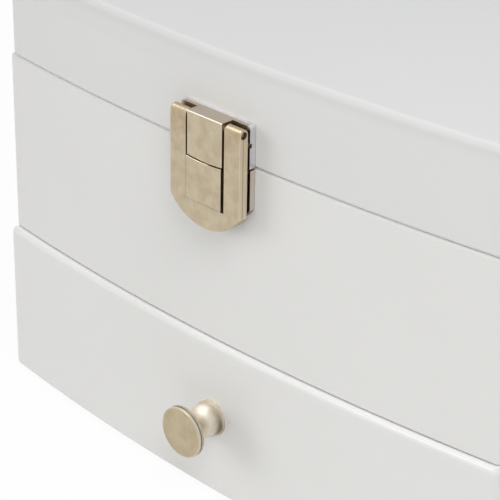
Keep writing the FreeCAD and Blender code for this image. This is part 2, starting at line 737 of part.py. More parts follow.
def pieces():
    """Every piece of the box by its name."""
    made = {
        "case_front": case_front(),
        "case_left_side": case_side(-1),
        "case_right_side": case_side(1),
        "case_back": case_back(),
        "case_base": box(-inner_half, inner_half, inner_front, inner_back, base_bottom, base_top),
        "shelf": box(-inner_half, inner_half, inner_front, inner_back, shelf_bottom, shelf_top),
        "felt_feet": felt_feet(),
        "floor_lining": floor_lining(inner_half, inner_front, inner_back, shelf_top),
        "long_divider": long_divider(),
        "cross_divider_front": cross_divider(1 / 3),
        "cross_divider_rear": cross_divider(2 / 3),
        "ring_bed": ring_bed(),
        "ring_rolls": ring_rolls(),
        "case_hinge_screws": Part.makeCompound(case_hinge_screws),
        "latch_keeper": latch_keeper(),
        "keeper_screws": Part.makeCompound(keeper_screws),
        "lid_panel": lid_panel(),
        "lid_front_rail": lid_front_rail(),
        "lid_left_rail": lid_side_rail(-1),
        "lid_right_rail": lid_side_rail(1),
        "lid_back_rail": lid_back_rail(),
        "lid_lining": lid_lining(),
        "lid_mirror": mirror_block(MIRROR_LIP, lid_panel_bottom - MIRROR_THICKNESS, lid_panel_bottom),
        "lid_hinge_screws": Part.makeCompound(lid_hinge_screws),
        "latch_plate": latch_plate(),
        "latch_plate_screws": Part.makeCompound(latch_plate_screws),
        "latch_pin": latch_pin(),
        "latch_flap": latch_flap(),
        "drawer_front": drawer_front(),
        "drawer_left_side": drawer_side(-1),
        "drawer_right_side": drawer_side(1),
        "drawer_back": box(-drawer_inner_half, drawer_inner_half, drawer_inner_end, drawer_end,
                           drawer_panel_high, drawer_high),
        "drawer_bottom": drawer_bottom(),
        "drawer_floor_lining": floor_lining(drawer_inner_half, drawer_seat, drawer_inner_end,
                                            drawer_panel_high),
        "drawer_divider_left": drawer_divider(-1),
        "drawer_divider_right": drawer_divider(1),
        "drawer_knob": knob(),
        "knob_screw": knob_screw(),
    }
    for wall, lining in wall_linings(inner_half, inner_front, inner_back, floor_top, lining_top).items():
        made["wall_lining_" + wall] = lining
    for wall, lining in drawer_linings().items():
        made["drawer_lining_" + wall] = lining
    for side, centre in hinge_centres().items():
        made["hinge_" + side + "_case_leaf"] = hinge_leaf(centre, -1, 0, case_hinge_screws)
        made["hinge_" + side + "_lid_leaf"] = hinge_leaf(centre, 1, 1, lid_hinge_screws)
        made["hinge_" + side + "_pin"] = hinge_pin(centre)
    return made


def export_parts():
    """Writes each piece to its own file."""
    os.makedirs("parts", exist_ok=True)
    for name, shape in pieces().items():
        shape.exportStep("parts/" + name + ".step")


export_parts()
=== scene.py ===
"""Looks of the jewelry organizer: its finishes, soft fittings and studio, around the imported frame."""

import json
import logging
import math
from dataclasses import dataclass
from enum import Enum
from typing import Any, Callable, Dict, Optional, Sequence, Tuple, Union

import bmesh
import bpy
from mathutils import Matrix, Vector

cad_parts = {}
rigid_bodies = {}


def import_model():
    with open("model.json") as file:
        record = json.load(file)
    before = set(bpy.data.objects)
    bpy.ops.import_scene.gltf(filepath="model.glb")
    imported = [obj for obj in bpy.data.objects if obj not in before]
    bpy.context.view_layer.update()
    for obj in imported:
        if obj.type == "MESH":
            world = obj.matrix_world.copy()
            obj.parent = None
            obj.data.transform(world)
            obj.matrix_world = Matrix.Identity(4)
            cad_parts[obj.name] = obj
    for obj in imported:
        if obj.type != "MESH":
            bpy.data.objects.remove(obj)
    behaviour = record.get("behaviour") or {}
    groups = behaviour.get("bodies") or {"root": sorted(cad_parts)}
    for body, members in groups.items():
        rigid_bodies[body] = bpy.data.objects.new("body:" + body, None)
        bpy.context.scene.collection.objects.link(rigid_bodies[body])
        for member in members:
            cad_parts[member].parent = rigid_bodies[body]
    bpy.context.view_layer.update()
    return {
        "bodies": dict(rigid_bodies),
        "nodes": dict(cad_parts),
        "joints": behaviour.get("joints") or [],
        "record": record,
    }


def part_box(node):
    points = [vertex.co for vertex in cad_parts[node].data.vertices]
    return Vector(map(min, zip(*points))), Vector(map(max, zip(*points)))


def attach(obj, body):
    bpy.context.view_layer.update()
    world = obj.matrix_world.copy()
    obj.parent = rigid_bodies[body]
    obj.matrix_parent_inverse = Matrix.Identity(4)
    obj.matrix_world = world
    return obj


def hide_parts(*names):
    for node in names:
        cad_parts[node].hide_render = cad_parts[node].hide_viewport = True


LOG = logging.getLogger("jewelry_organizer")

MM = 0.001
WHITE = (1.0, 1.0, 1.0, 1.0)
PLATE_THICKNESS = 2.1 * MM
KEEPER_THICKNESS = 1.8 * MM

# Places closer than this are taken as one, and a face looks along an axis from this share of its normal
TOUCH = 0.1 * MM
FACING = 0.9

# Sides of round pieces, steps of a rolled edge, and the angles from which an edge stays sharp
ROUND_SIDES = 48
SHANK_SIDES = 32
EDGE_STEPS = 4
SHARP_ANGLE = math.radians(40)
SOFT_ANGLE = math.radians(70)
SCREW_ANGLE = math.radians(30)
GLASS_ANGLE = math.radians(2)

Colour = Tuple[float, float, float]
Pair = Tuple[float, float]
Number = Union[int, float]


class Slot(Enum):
    """The record's material slots."""

    LACQUER = "white_lacquer"
    VELVET = "velvet"
    PLATING = "champagne_metal"
    SCREW = "screw_steel"
    MIRROR = "mirror"
    FELT = "felt"


class Body(Enum):
    """The bodies that new pieces ride on."""

    CASE = "case"
    LID = "lid"
    DRAWER = "drawer"


class Pick(Enum):
    """What a selection in edit mode is made of."""

    EDGE = "EDGE"
    FACE = "FACE"


class Signal:
    """A shader socket that takes part in Python expressions on numbers."""

    def __init__(self, graph: "ShaderGraph", socket: Optional[bpy.types.NodeSocket]) -> None:
        """Wraps a socket.

        Args:
            graph: The graph that the socket belongs to.
            socket: The output socket, or None at the graph's own output.
        """
        self.graph = graph
        self.socket = socket

    def _math(self, operation: str, first: Any, second: Any) -> "Signal":
        """Adds one Math node.

        Args:
            operation: The node's operation.
            first: Its first operand.
            second: Its second operand.

        Returns:
            The node's result.
        """
        return self.graph.add("ShaderNodeMath", {"operation": operation}, {0: first, 1: second})

    def __add__(self, other: Any) -> "Signal":
        """Sum."""
        return self._math("ADD", self, other)

    def __radd__(self, other: Number) -> "Signal":
        """Sum with a number on the left."""
        return self._math("ADD", other, self)

    def __sub__(self, other: Any) -> "Signal":
        """Difference."""
        return self._math("SUBTRACT", self, other)

    def __rsub__(self, other: Number) -> "Signal":
        """Difference from a number on the left."""
        return self._math("SUBTRACT", other, self)

    def __mul__(self, other: Any) -> "Signal":
        """Product."""
        return self._math("MULTIPLY", self, other)

    def __rmul__(self, other: Number) -> "Signal":
        """Product with a number on the left."""
        return self._math("MULTIPLY", other, self)

    def larger(self, other: Any) -> "Signal":
        """The larger of two values."""
        return self._math("MAXIMUM", self, other)

    def above(self, limit: Number) -> "Signal":
        """One where the value is over a limit, and zero elsewhere."""
        return self._math("GREATER_THAN", self, limit)


@dataclass(frozen=True)
class Pattern:
    """A soft noise over a piece.

    Attributes:
        scale: Its waves per metre.
        detail: Its finer layers.
        roughness: The strength of the finer layers.
    """

    scale: float
    detail: float = 2.0
    roughness: float = 0.5


class ShaderGraph:
    """A node tree that is filled one node at a time."""

    def __init__(self, tree: bpy.types.NodeTree) -> None:
        """Empties a tree.

        Args:
            tree: The tree to fill.
        """
        self.tree = tree
        self.tree.nodes.clear()

    def add(self, kind: str, settings: Optional[Dict[str, Any]] = None,
            inputs: Optional[Dict[Any, Any]] = None, output: Any = 0) -> Signal:
        """Adds a node.

        Args:
            kind: The node's type.
            settings: Its properties, set first; "stops" gives a ramp's places and colours.
            inputs: Values or signals by socket name or number.
            output: The name or number of the output to return.

        Returns:
            That output.
        """
        node = self.tree.nodes.new(kind)
        for name, value in (settings or {}).items():
            if name == "stops":
                self._set_stops(node.color_ramp.elements, value)
            else:
                setattr(node, name, value)
        for name, value in (inputs or {}).items():
            if isinstance(value, Signal):
                self.tree.links.new(value.socket, node.inputs[name])
            else:
                node.inputs[name].default_value = value
        return Signal(self, node.outputs[output] if len(node.outputs) else None)

    @staticmethod
    def _set_stops(elements: bpy.types.bpy_prop_collection, stops: Sequence[Tuple[float, Colour]]) -> None:
        """Sets a ramp's two stops.

        Args:
            elements: The ramp's elements.
            stops: Places and colours in order.
        """
        for element, (place, colour) in zip(elements, stops):
            element.position = place
            element.color = (*colour, 1.0)

    def place(self) -> Signal:
        """The object coordinates."""
        return self.add("ShaderNodeTexCoord", {}, {}, "Object")

    def axes(self) -> Tuple[Signal, Signal, Signal]:
        """The object coordinates one by one."""
        where = self.place()
        return tuple(self.add("ShaderNodeSeparateXYZ", {}, {"Vector": where}, axis) for axis in "XYZ")

    def noise(self, pattern: Pattern) -> Signal:
        """Lays a pattern over the piece.

        Args:
            pattern: The pattern's settings.

        Returns:
            Its value, from 0 to 1.
        """
        return self.add("ShaderNodeTexNoise", {}, {
            "Vector": self.place(),
            "Scale": pattern.scale,
            "Detail": pattern.detail,
            "Roughness": pattern.roughness,
        }, "Fac")

    def ramp(self, value: Signal, turn: Pair, deep: Colour, pale: Colour) -> Signal:
        """Turns a value into a tone between two colours.

        Args:
            value: The value to look up.
            turn: The values up to which the tone is deep and from which it is pale.
            deep: The deep tone.
            pale: The pale tone.

        Returns:
            The colour.
        """
        stops = list(zip(turn, (deep, pale)))
        return self.add("ShaderNodeValToRGB", {"stops": stops}, {"Fac": value}, "Color")

    def fade(self, value: Signal, start: float, end: float) -> Signal:
        """Rises from 0 to 1 between two values.

        Args:
            value: The value to look up.
            start: Where the result is 0.
            end: Where the result is 1.

        Returns:
            The risen value.
        """
        settings = {"interpolation_type": "SMOOTHSTEP"}
        return self.add("ShaderNodeMapRange", settings, {0: value, 1: start, 2: end})

    def mix(self, share: Signal, first: Any, second: Any) -> Signal:
        """Blends two colours.

        Args:
            share: How much of the second colour shows.
            first: A colour or a colour's signal.
            second: Another one.

        Returns:
            The blend.
        """
        pair = [colour if isinstance(colour, Signal) else (*colour, 1.0) for colour in (first, second)]
        return self.add("ShaderNodeMix", {"data_type": "RGBA"}, {0: share, 6: pair[0], 7: pair[1]}, 2)

    def bump(self, height: Signal, depth: float, strength: float) -> Signal:
        """A bumped normal.

        Args:
            height: The relief, from 0 to 1.
            depth: Its depth in metres.
            strength: How much of it shows.

        Returns:
            The normal.
        """
        return self.add("ShaderNodeBump", {}, {"Height": height, "Distance": depth, "Strength": strength})


@dataclass(frozen=True)
class Finish:
    """A finish, whose materials are each made round one Principled shader."""

    def sockets(self, graph: ShaderGraph) -> Dict[str, Any]:
        """The shader's sockets.

        Args:
            graph: The graph to add nodes to.

        Returns:
            Values and signals by socket name.
        """
        raise NotImplementedError

    def material(self, name: str) -> bpy.types.Material:
        """Makes a material.

        Args:
            name: The material's name.

        Returns:
            The material.
        """
        material = bpy.data.materials.new(name)
        material.use_nodes = True
        graph = ShaderGraph(material.node_tree)
        surface = graph.add("ShaderNodeBsdfPrincipled", {}, self.sockets(graph))
        graph.add("ShaderNodeOutputMaterial", {}, {"Surface": surface})
        return material


@dataclass(frozen=True)
class Lacquer(Finish):
    """Satin white lacquer on fibreboard, with faint clouds and a faint orange peel."""

    pale: Colour = (0.782, 0.778, 0.760)
    deep: Colour = (0.766, 0.761, 0.743)
    cloud: Pattern = Pattern(14.0, 3.0)
    cloud_turn: Pair = (0.3, 0.7)
    roughness: float = 0.34
    roughness_swing: float = 0.08
    peel: Pattern = Pattern(420.0, 1.0)
    peel_depth: float = 0.02 * MM
    peel_strength: float = 0.35

    def sockets(self, graph: ShaderGraph) -> Dict[str, Any]:
        """The shader's sockets.

        Args:
            graph: The graph to add nodes to.

        Returns:
            Values and signals by socket name.
        """
        cloud = graph.noise(self.cloud)
        return {
            "Base Color": graph.ramp(cloud, self.cloud_turn, self.deep, self.pale),
            "Roughness": self.roughness + self.roughness_swing * cloud,
            "Normal": graph.bump(graph.noise(self.peel), self.peel_depth, self.peel_strength),
        }


@dataclass(frozen=True)
class LidLacquer(Lacquer):
    """Lacquer of the lid's panel, with painted shade: a shade deeper on its bowed edge than on top, and
    deepest along its lip, which tones down the edge's highlight.

    Attributes:
        top: The height of the panel's top.
        front: The place of its foremost point.
        edge_round: How far under the top the edge's tone is full.
        edge_depth: How far behind the foremost point the edge's tone reaches.
        edge: The tone of the bowed edge, painted shade.
        lip_depth: How far under the top the lip's tone ends.
        lip: The tone along the lip, a deeper painted shade.
        gloss: The strength of the reflections.
    """

    top: float = 0.0
    front: float = 0.0
    edge_round: float = 0.7 * MM
    edge_depth: float = 10.0 * MM
    edge: Colour = (0.740, 0.739, 0.728)
    lip_depth: float = 5.0 * MM
    lip: Colour = (0.710, 0.709, 0.700)
    gloss: float = 0.15

    def sockets(self, graph: ShaderGraph) -> Dict[str, Any]:
        """The shader's sockets.

        Args:
            graph: The graph to add nodes to.

        Returns:
            Values and signals by socket name.
        """
        sockets = super().sockets(graph)
        y, z = graph.axes()[1:]
        below = 1 - graph.fade(z, self.top - self.edge_round, self.top)
        ahead = 1 - graph.fade(y, self.front + self.edge_depth, self.front + 2 * self.edge_depth)
        near_top = graph.fade(z, self.top - self.lip_depth, self.top - self.lip_depth / 2)
        # Painted shade: the bowed edge and, deeper still, the lip are darker than the lacquer, which tones
        # down the edge's highlight.
        side = graph.mix(near_top, self.edge, self.lip)
        sockets["Base Color"] = graph.mix(below * ahead, sockets["Base Color"], side)
        sockets["Specular IOR Level"] = self.gloss
        return sockets


@dataclass(frozen=True)
class FrontLacquer(Lacquer):
    """Lacquer of a front board, whiter on the faces that meet the next board, as painted light that lightens
    the shade in the gap, and deeper under its top lip, as painted shade that tones down the lip's highlight.

    Attributes:
        top: The height of the upper face that meets a board.
        bottom: The height of the lower face that meets a board.
        skin: How far such a face's tone reaches into the board's sides.
        painted_gap_light: The tone of such a face, whiter than the lacquer: painted light that lightens the
            shade in the gap.
        lip: How far under the top the painted shade reaches.
        crest: How far under the top the lacquer's own tone is full again.
        painted_lip_shade: The tone of the painted shade under the lip, or None where the lacquer is even.
    """

    top: float = 0.0
    bottom: float = 0.0
    skin: float = 0.05 * MM
    painted_gap_light: Colour = (0.930, 0.930, 0.925)
    lip: float = 1.3 * MM
    crest: float = 0.35 * MM
    painted_lip_shade: Optional[Colour] = None

    def sockets(self, graph: ShaderGraph) -> Dict[str, Any]:
        """The shader's sockets.

        Args:
            graph: The graph to add nodes to.

        Returns:
            Values and signals by socket name.
        """
        sockets = super().sockets(graph)
        z = graph.axes()[2]
        shown = sockets["Base Color"]
        if self.painted_lip_shade:
            # Painted shade: a deeper tone under the top lip tones down the lip's highlight.
            reach = graph.fade(z, self.top - self.lip, self.top - self.lip / 2)
            full = graph.fade(z, self.top - self.crest, self.top)
            shown = graph.mix(reach * (1 - full), shown, self.painted_lip_shade)
        # Painted light: the faces that meet the next board are whiter, which lightens the shade in the gap.
        gap_faces = z.above(self.top - self.skin).larger(1 - z.above(self.bottom + self.skin))
        sockets["Base Color"] = graph.mix(gap_faces, shown, self.painted_gap_light)
        return sockets


@dataclass(frozen=True)
class Plating(Finish):
    """Satin champagne plating with a fine cast grain and warmer clouds."""

    pale: Colour = (0.578, 0.500, 0.358)
    warm: Colour = (0.494, 0.408, 0.288)
    cloud: Pattern = Pattern(260.0, 4.0, 0.6)
    cloud_turn: Pair = (0.35, 0.62)
    roughness: float = 0.26
    roughness_swing: float = 0.14
    grain: Pattern = Pattern(2600.0)
    grain_depth: float = 0.012 * MM
    grain_strength: float = 0.5

    def sockets(self, graph: ShaderGraph) -> Dict[str, Any]:
        """The shader's sockets.

        Args:
            graph: The graph to add nodes to.

        Returns:
            Values and signals by socket name.
        """
        grain = graph.noise(self.grain)
        return {
            "Base Color": graph.ramp(graph.noise(self.cloud), self.cloud_turn, self.warm, self.pale),
            "Metallic": 1.0,
            "Roughness": self.roughness + self.roughness_swing * grain,
            "Normal": graph.bump(grain, self.grain_depth, self.grain_strength),
        }


@dataclass(frozen=True)
class MountPlating(Plating):
    """Plating of a latch plate and its block.

    The plate has painted shade behind the flap, shows wear on top and is bare on its cut edges, and the
    block's edge carries a painted highlight.

    Attributes:
        front: The place of the block's face.
        wall: The place of the plate's back.
        right: The place of the plate's right edge.
        top: The height of the plate's top edge.
        thickness: The plate's thickness.
        strip: How far the bare edge reaches from the wall.
        corner: The size of the bare corner.
        edge: The width of the painted highlight along the block's edge.
        skin: How far a face's tone reaches past the face.
        shade_behind_flap: The tone behind the flap, painted shade.
        wear_and_sheen: The tone on top.
        bare: The tone of the cut edges.
        painted_edge_highlight: The tone of the block's edge, a painted highlight.
    """

    front: float = 0.0
    wall: float = 0.0
    right: float = 0.0
    top: float = 0.0
    thickness: float = PLATE_THICKNESS
    strip: float = 0.85 * MM
    corner: float = 1.05 * MM
    edge: float = 0.28 * MM
    skin: float = 0.03 * MM
    shade_behind_flap: Colour = (0.360, 0.300, 0.240)
    wear_and_sheen: Colour = (0.560, 0.495, 0.410)
    bare: Colour = (0.80, 0.79, 0.81)
    painted_edge_highlight: Colour = (0.86, 0.80, 0.68)

    def sockets(self, graph: ShaderGraph) -> Dict[str, Any]:
        """The shader's sockets.

        Args:
            graph: The graph to add nodes to.

        Returns:
            Values and signals by socket name.
        """
        sockets = super().sockets(graph)
        x, y, z = graph.axes()
        plate = y.above(self.wall - self.thickness - self.skin)
        corner = x.above(self.right - self.corner) * z.above(self.top - self.corner)
        roof = z.above(self.top - self.skin)
        strip = roof * y.above(self.wall - self.strip)
        cut = plate * corner.larger(x.above(self.right - self.skin)).larger(strip)
        hidden = plate * (1 - cut) * (1 - roof)
        rim = z.above(self.top - self.edge) * (1 - y.above(self.front + self.edge))
        shown = graph.mix(roof, sockets["Base Color"], self.wear_and_sheen)
        # Painted highlight: a pale line along the block's top front edge.
        shown = graph.mix(rim, shown, self.painted_edge_highlight)
        # Painted shade: the plate's face behind the flap is darkened.
        shown = graph.mix(hidden, shown, self.shade_behind_flap)
        sockets["Base Color"] = graph.mix(cut, shown, self.bare)
        return sockets


@dataclass(frozen=True)
class FlapPlating(Plating):
    """Plating of the flap, tanned towards its knuckles, with a parting line, painted shade in the recesses for
    the pin, and painted light on its right side.

    Attributes:
        front: The place of the flap's face.
        right: The place of its right side.
        pin_y: The pin's place from front to back.
        pin_z: The pin's height.
        parting_depth: How far the parting line lies behind the face.
        parting: Half the width of the parting line.
        skin: How far the side's tone reaches past the side.
        recess: The radius of the recess round the pin's end.
        knuckle_reach: How far under the pin the tan starts.
        knuckle_full: How far under the pin the tan is full.
        knuckle_share: How much of the tan shows by the knuckles, and again in the patches there.
        patches: The pattern of tanned patches.
        patch_turn: The pattern's values between which a patch fades in.
        patch_share: How much of the tan shows in patches all over.
        side_share: How much of the painted light shows on the side.
        tan: The tone of the tan.
        wear_and_sheen: The tone of the right side, paler with painted light.
        line: The tone of the parting line.
        dark: The tone of the recess, painted shade.
    """

    front: float = 0.0
    right: float = 0.0
    pin_y: float = 0.0
    pin_z: float = 0.0
    parting_depth: float = 1.55 * MM
    parting: float = 0.22 * MM
    skin: float = 0.04 * MM
    recess: float = 1.12 * MM
    knuckle_reach: float = 8.0 * MM
    knuckle_full: float = 1.2 * MM
    knuckle_share: float = 0.35
    patches: Pattern = Pattern(330.0, 3.0, 0.65)
    patch_turn: Pair = (0.40, 0.66)
    patch_share: float = 0.12
    side_share: float = 0.8
    tan: Colour = (0.445, 0.330, 0.205)
    wear_and_sheen: Colour = (0.890, 0.760, 0.570)
    line: Colour = (0.490, 0.400, 0.285)
    dark: Colour = (0.240, 0.195, 0.145)

    def sockets(self, graph: ShaderGraph) -> Dict[str, Any]:
        """The shader's sockets.

        Args:
            graph: The graph to add nodes to.

        Returns:
            Values and signals by socket name.
        """
        sockets = super().sockets(graph)
        x, y, z = graph.axes()
        out = y - self.pin_y
        up = z - self.pin_z
        off_line = y - (self.front + self.parting_depth)
        patches = graph.fade(graph.noise(self.patches), *self.patch_turn)
        near = graph.fade(up, -self.knuckle_reach, -self.knuckle_full)
        tanned = patches * self.patch_share + near * (self.knuckle_share + self.knuckle_share * patches)
        side = x.above(self.right - self.skin) * self.side_share
        line = 1 - graph.fade(off_line * off_line, 0.0, self.parting ** 2)
        recess = 1 - (out * out + up * up).above(self.recess ** 2)
        shown = graph.mix(tanned, sockets["Base Color"], self.tan)
        # Painted light: the flap's right side is paler.
        shown = graph.mix(side, shown, self.wear_and_sheen)
        shown = graph.mix(line, shown, self.line)
        # Painted shade: the recess round the pin's end is darkened.
        sockets["Base Color"] = graph.mix(recess, shown, self.dark)
        return sockets


@dataclass(frozen=True)
class KnobPlating(Plating):
    """Plating of the knob: a satin disc, paler round its rim with wear and a painted highlight, on a polished
    foot that is darker in the groove by its flange.

    Attributes:
        front: The place of the disc's face.
        wall: The place of the flange's back.
        middle_x: The knob's middle across the front.
        middle_z: The height of the knob's middle.
        radius: The disc's radius.
        disc_thickness: The disc's thickness.
        disc_pale: The disc's pale tone.
        disc_warm: The disc's warm tone.
        tone_turn: The cloud's values between which the tones turn.
        rim: The width of the paler rim.
        rim_wear_and_sheen: The tone of the rim, paler with wear and a painted highlight.
        foot_pale: The foot's pale tone.
        foot_warm: The foot's warm tone.
        foot_roughness: The foot's roughness.
        flange_thickness: The flange's thickness.
        skin: How far the flange's tone reaches past its face.
        groove_dark_reach: How far the darker tone reaches from the flange.
        groove_dark: The darker tone in the groove by the flange, deepest towards the bottom.
    """

    front: float = 0.0
    wall: float = 0.0
    middle_x: float = 0.0
    middle_z: float = 0.0
    radius: float = 0.0
    disc_thickness: float = 1.95 * MM
    disc_pale: Colour = (0.530, 0.450, 0.310)
    disc_warm: Colour = (0.475, 0.385, 0.255)
    tone_turn: Pair = (0.38, 0.62)
    rim: float = 0.6 * MM
    rim_wear_and_sheen: Colour = (0.610, 0.565, 0.460)
    foot_pale: Colour = (0.750, 0.695, 0.600)
    foot_warm: Colour = (0.650, 0.580, 0.475)
    foot_roughness: float = 0.57
    flange_thickness: float = 0.9 * MM
    skin: float = 0.064 * MM
    groove_dark_reach: float = 3.2 * MM
    groove_dark: Colour = (0.140, 0.125, 0.085)

    def sockets(self, graph: ShaderGraph) -> Dict[str, Any]:
        """The shader's sockets.

        Args:
            graph: The graph to add nodes to.

        Returns:
            Values and signals by socket name.
        """
        sockets = super().sockets(graph)
        x, y, z = graph.axes()
        across = x - self.middle_x
        up = z - self.middle_z
        flange_face = self.wall - self.flange_thickness
        cloud = graph.noise(self.cloud)
        # The rim is paler: wear, with a painted highlight.
        wear_and_sheen = graph.fade(across * across + up * up, (self.radius - self.rim) ** 2, self.radius ** 2)
        satin = graph.ramp(cloud, self.tone_turn, self.disc_warm, self.disc_pale)
        disc = graph.mix(wear_and_sheen, satin, self.rim_wear_and_sheen)
        # Darker in the groove by the flange, most towards the bottom.
        near = graph.fade(y, flange_face - self.groove_dark_reach, flange_face)
        low = 1 - graph.fade(up, -self.groove_dark_reach, 2 * self.groove_dark_reach)
        groove_darkening = near * low * (1 - y.above(flange_face - self.skin))
        polished = graph.ramp(cloud, self.tone_turn, self.foot_warm, self.foot_pale)
        foot = y.above(self.front + self.disc_thickness)
        sockets["Base Color"] = graph.mix(foot, disc, graph.mix(groove_darkening, polished, self.groove_dark))
        sockets["Roughness"] = sockets["Roughness"] * (1 - foot) + self.foot_roughness * foot
        return sockets


@dataclass(frozen=True)
class WornMetal(Finish):
    """Plain metal of a screw or a pin, paler in patches of wear."""

    pale: Colour
    deep: Colour
    wear: Pattern
    roughness: float
    roughness_swing: float
    wear_turn: Pair = (0.35, 0.65)

    def sockets(self, graph: ShaderGraph) -> Dict[str, Any]:
        """The shader's sockets.

        Args:
            graph: The graph to add nodes to.

        Returns:
            Values and signals by socket name.
        """
        wear = graph.noise(self.wear)
        return {
            "Base Color": graph.ramp(wear, self.wear_turn, self.deep, self.pale),
            "Metallic": 1.0,
            "Roughness": self.roughness + self.roughness_swing * wear,
        }


@dataclass(frozen=True)
class Velvet(Finish):
    """Short-pile velvet with a soft nap."""

    pale: Colour = (0.560, 0.535, 0.510)
    deep: Colour = (0.420, 0.398, 0.378)
    tone_turn: Pair = (0.32, 0.66)
    nap: Pattern = Pattern(60.0, 3.0)
    nap_share: float = 0.55
    pile: Pattern = Pattern(2400.0, 2.0, 0.7)
    pile_depth: float = 0.18 * MM
    pile_strength: float = 0.8
    roughness: float = 0.92
    sheen: float = 0.6
    sheen_roughness: float = 0.4

    def sockets(self, graph: ShaderGraph) -> Dict[str, Any]:
        """The shader's sockets.

        Args:
            graph: The graph to add nodes to.

        Returns:
            Values and signals by socket name.
        """
        pile = graph.noise(self.pile)
        tone = graph.noise(self.nap) * self.nap_share + pile * (1 - self.nap_share)
        return {
            "Base Color": graph.ramp(tone, self.tone_turn, self.deep, self.pale),
            "Roughness": self.roughness,
            "Sheen Weight": self.sheen,
            "Sheen Roughness": self.sheen_roughness,
            "Normal": graph.bump(pile, self.pile_depth, self.pile_strength),
        }


@dataclass(frozen=True)
class Felt(Finish):
    """Pressed felt."""

    pale: Colour = (0.72, 0.71, 0.68)
    deep: Colour = (0.55, 0.54, 0.51)
    tone_turn: Pair = (0.3, 0.7)
    fibre: Pattern = Pattern(1500.0, 5.0, 0.75)
    fibre_depth: float = 0.2 * MM
    fibre_strength: float = 0.9
    roughness: float = 0.95

    def sockets(self, graph: ShaderGraph) -> Dict[str, Any]:
        """The shader's sockets.

        Args:
            graph: The graph to add nodes to.

        Returns:
            Values and signals by socket name.
        """
        fibre = graph.noise(self.fibre)
        return {
            "Base Color": graph.ramp(fibre, self.tone_turn, self.deep, self.pale),
            "Roughness": self.roughness,
            "Normal": graph.bump(fibre, self.fibre_depth, self.fibre_strength),
        }


@dataclass(frozen=True)
class MirrorGlass(Finish):
    """Silvered glass with a trace of haze."""

    tint: Colour = (0.90, 0.915, 0.91)
    haze: Pattern = Pattern(25.0, 4.0)
    roughness: float = 0.012
    roughness_swing: float = 0.02

    def sockets(self, graph: ShaderGraph) -> Dict[str, Any]:
        """The shader's sockets.

        Args:
            graph: The graph to add nodes to.

        Returns:
            Values and signals by socket name.
        """
        return {
            "Base Color": (*self.tint, 1.0),
            "Metallic": 1.0,
            "Roughness": self.roughness + self.roughness_swing * graph.noise(self.haze),
        }


PIN_BRONZE = WornMetal(pale=(0.620, 0.540, 0.420), deep=(0.450, 0.380, 0.280), wear=Pattern(1400.0, 3.0),
                       roughness=0.35, roughness_swing=0.2)
SCREW_STEEL = WornMetal(pale=(0.60, 0.56, 0.48), deep=(0.48, 0.44, 0.37), wear=Pattern(900.0, 3.0),
                        roughness=0.24, roughness_swing=0.16)
LID_ROUGHNESS = 0.56
CASE_ROUGHNESS = 0.66
DRAWER_ROUGHNESS = 0.30

FINISHES: Dict[Slot, Finish] = {
    Slot.LACQUER: Lacquer(),
    Slot.VELVET: Velvet(),
    Slot.PLATING: Plating(),
    Slot.SCREW: SCREW_STEEL,
    Slot.MIRROR: MirrorGlass(),
    Slot.FELT: Felt(),
}


def middle(node: str) -> Vector:
    """The middle of a frame node's box."""
    low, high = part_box(node)
    return (low + high) / 2


def fitted_finishes() -> Dict[str, Finish]:
    """The finishes that follow the places of their own nodes.

    Returns:
        Finishes by node.
    """
    panel_low, panel_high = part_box("lid_panel")
    case_low, case_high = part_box("case_front")
    drawer_low, drawer_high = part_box("drawer_front")
    plate_low, plate_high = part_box("latch_plate")
    keeper_low, keeper_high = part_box("latch_keeper")
    flap_low, flap_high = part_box("latch_flap")
    knob_low, knob_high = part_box("drawer_knob")
    pin = middle("latch_pin")
    knob = middle("drawer_knob")
    rail = Lacquer(roughness=LID_ROUGHNESS)
    return {
        "lid_panel": LidLacquer(
            pale=(0.784, 0.786, 0.786), deep=(0.768, 0.770, 0.770), roughness=LID_ROUGHNESS,
            top=panel_high.z, front=panel_low.y),
        # The lid's front rail is a darker copy of the white lacquer: painted shade on the lid's front.
        "lid_front_rail": FrontLacquer(
            pale=(0.746, 0.744, 0.730), deep=(0.730, 0.727, 0.714), roughness=LID_ROUGHNESS,
            top=panel_high.z, bottom=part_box("lid_front_rail")[0].z),
        "lid_left_rail": rail,
        "lid_right_rail": rail,
        "lid_back_rail": rail,
        # The case front carries painted shade under its top lip.
        "case_front": FrontLacquer(
            roughness=CASE_ROUGHNESS, top=case_high.z, bottom=case_low.z, painted_lip_shade=(0.715, 0.710, 0.693)),
        "drawer_front": FrontLacquer(
            roughness=DRAWER_ROUGHNESS, top=drawer_high.z, bottom=drawer_low.z),
        "latch_plate": MountPlating(
            front=plate_low.y, wall=plate_high.y, right=plate_high.x, top=plate_high.z),
        "latch_keeper": MountPlating(
            front=keeper_low.y, wall=keeper_high.y, right=keeper_high.x, top=keeper_high.z,
            thickness=KEEPER_THICKNESS, bare=(0.740, 0.675, 0.605)),
        "latch_flap": FlapPlating(front=flap_low.y, right=flap_high.x, pin_y=pin.y, pin_z=pin.z),
        "latch_pin": PIN_BRONZE,
        "drawer_knob": KnobPlating(
            front=knob_low.y, wall=knob_high.y, middle_x=knob.x, middle_z=knob.z,
            radius=(knob_high.x - knob_low.x) / 2),
    }


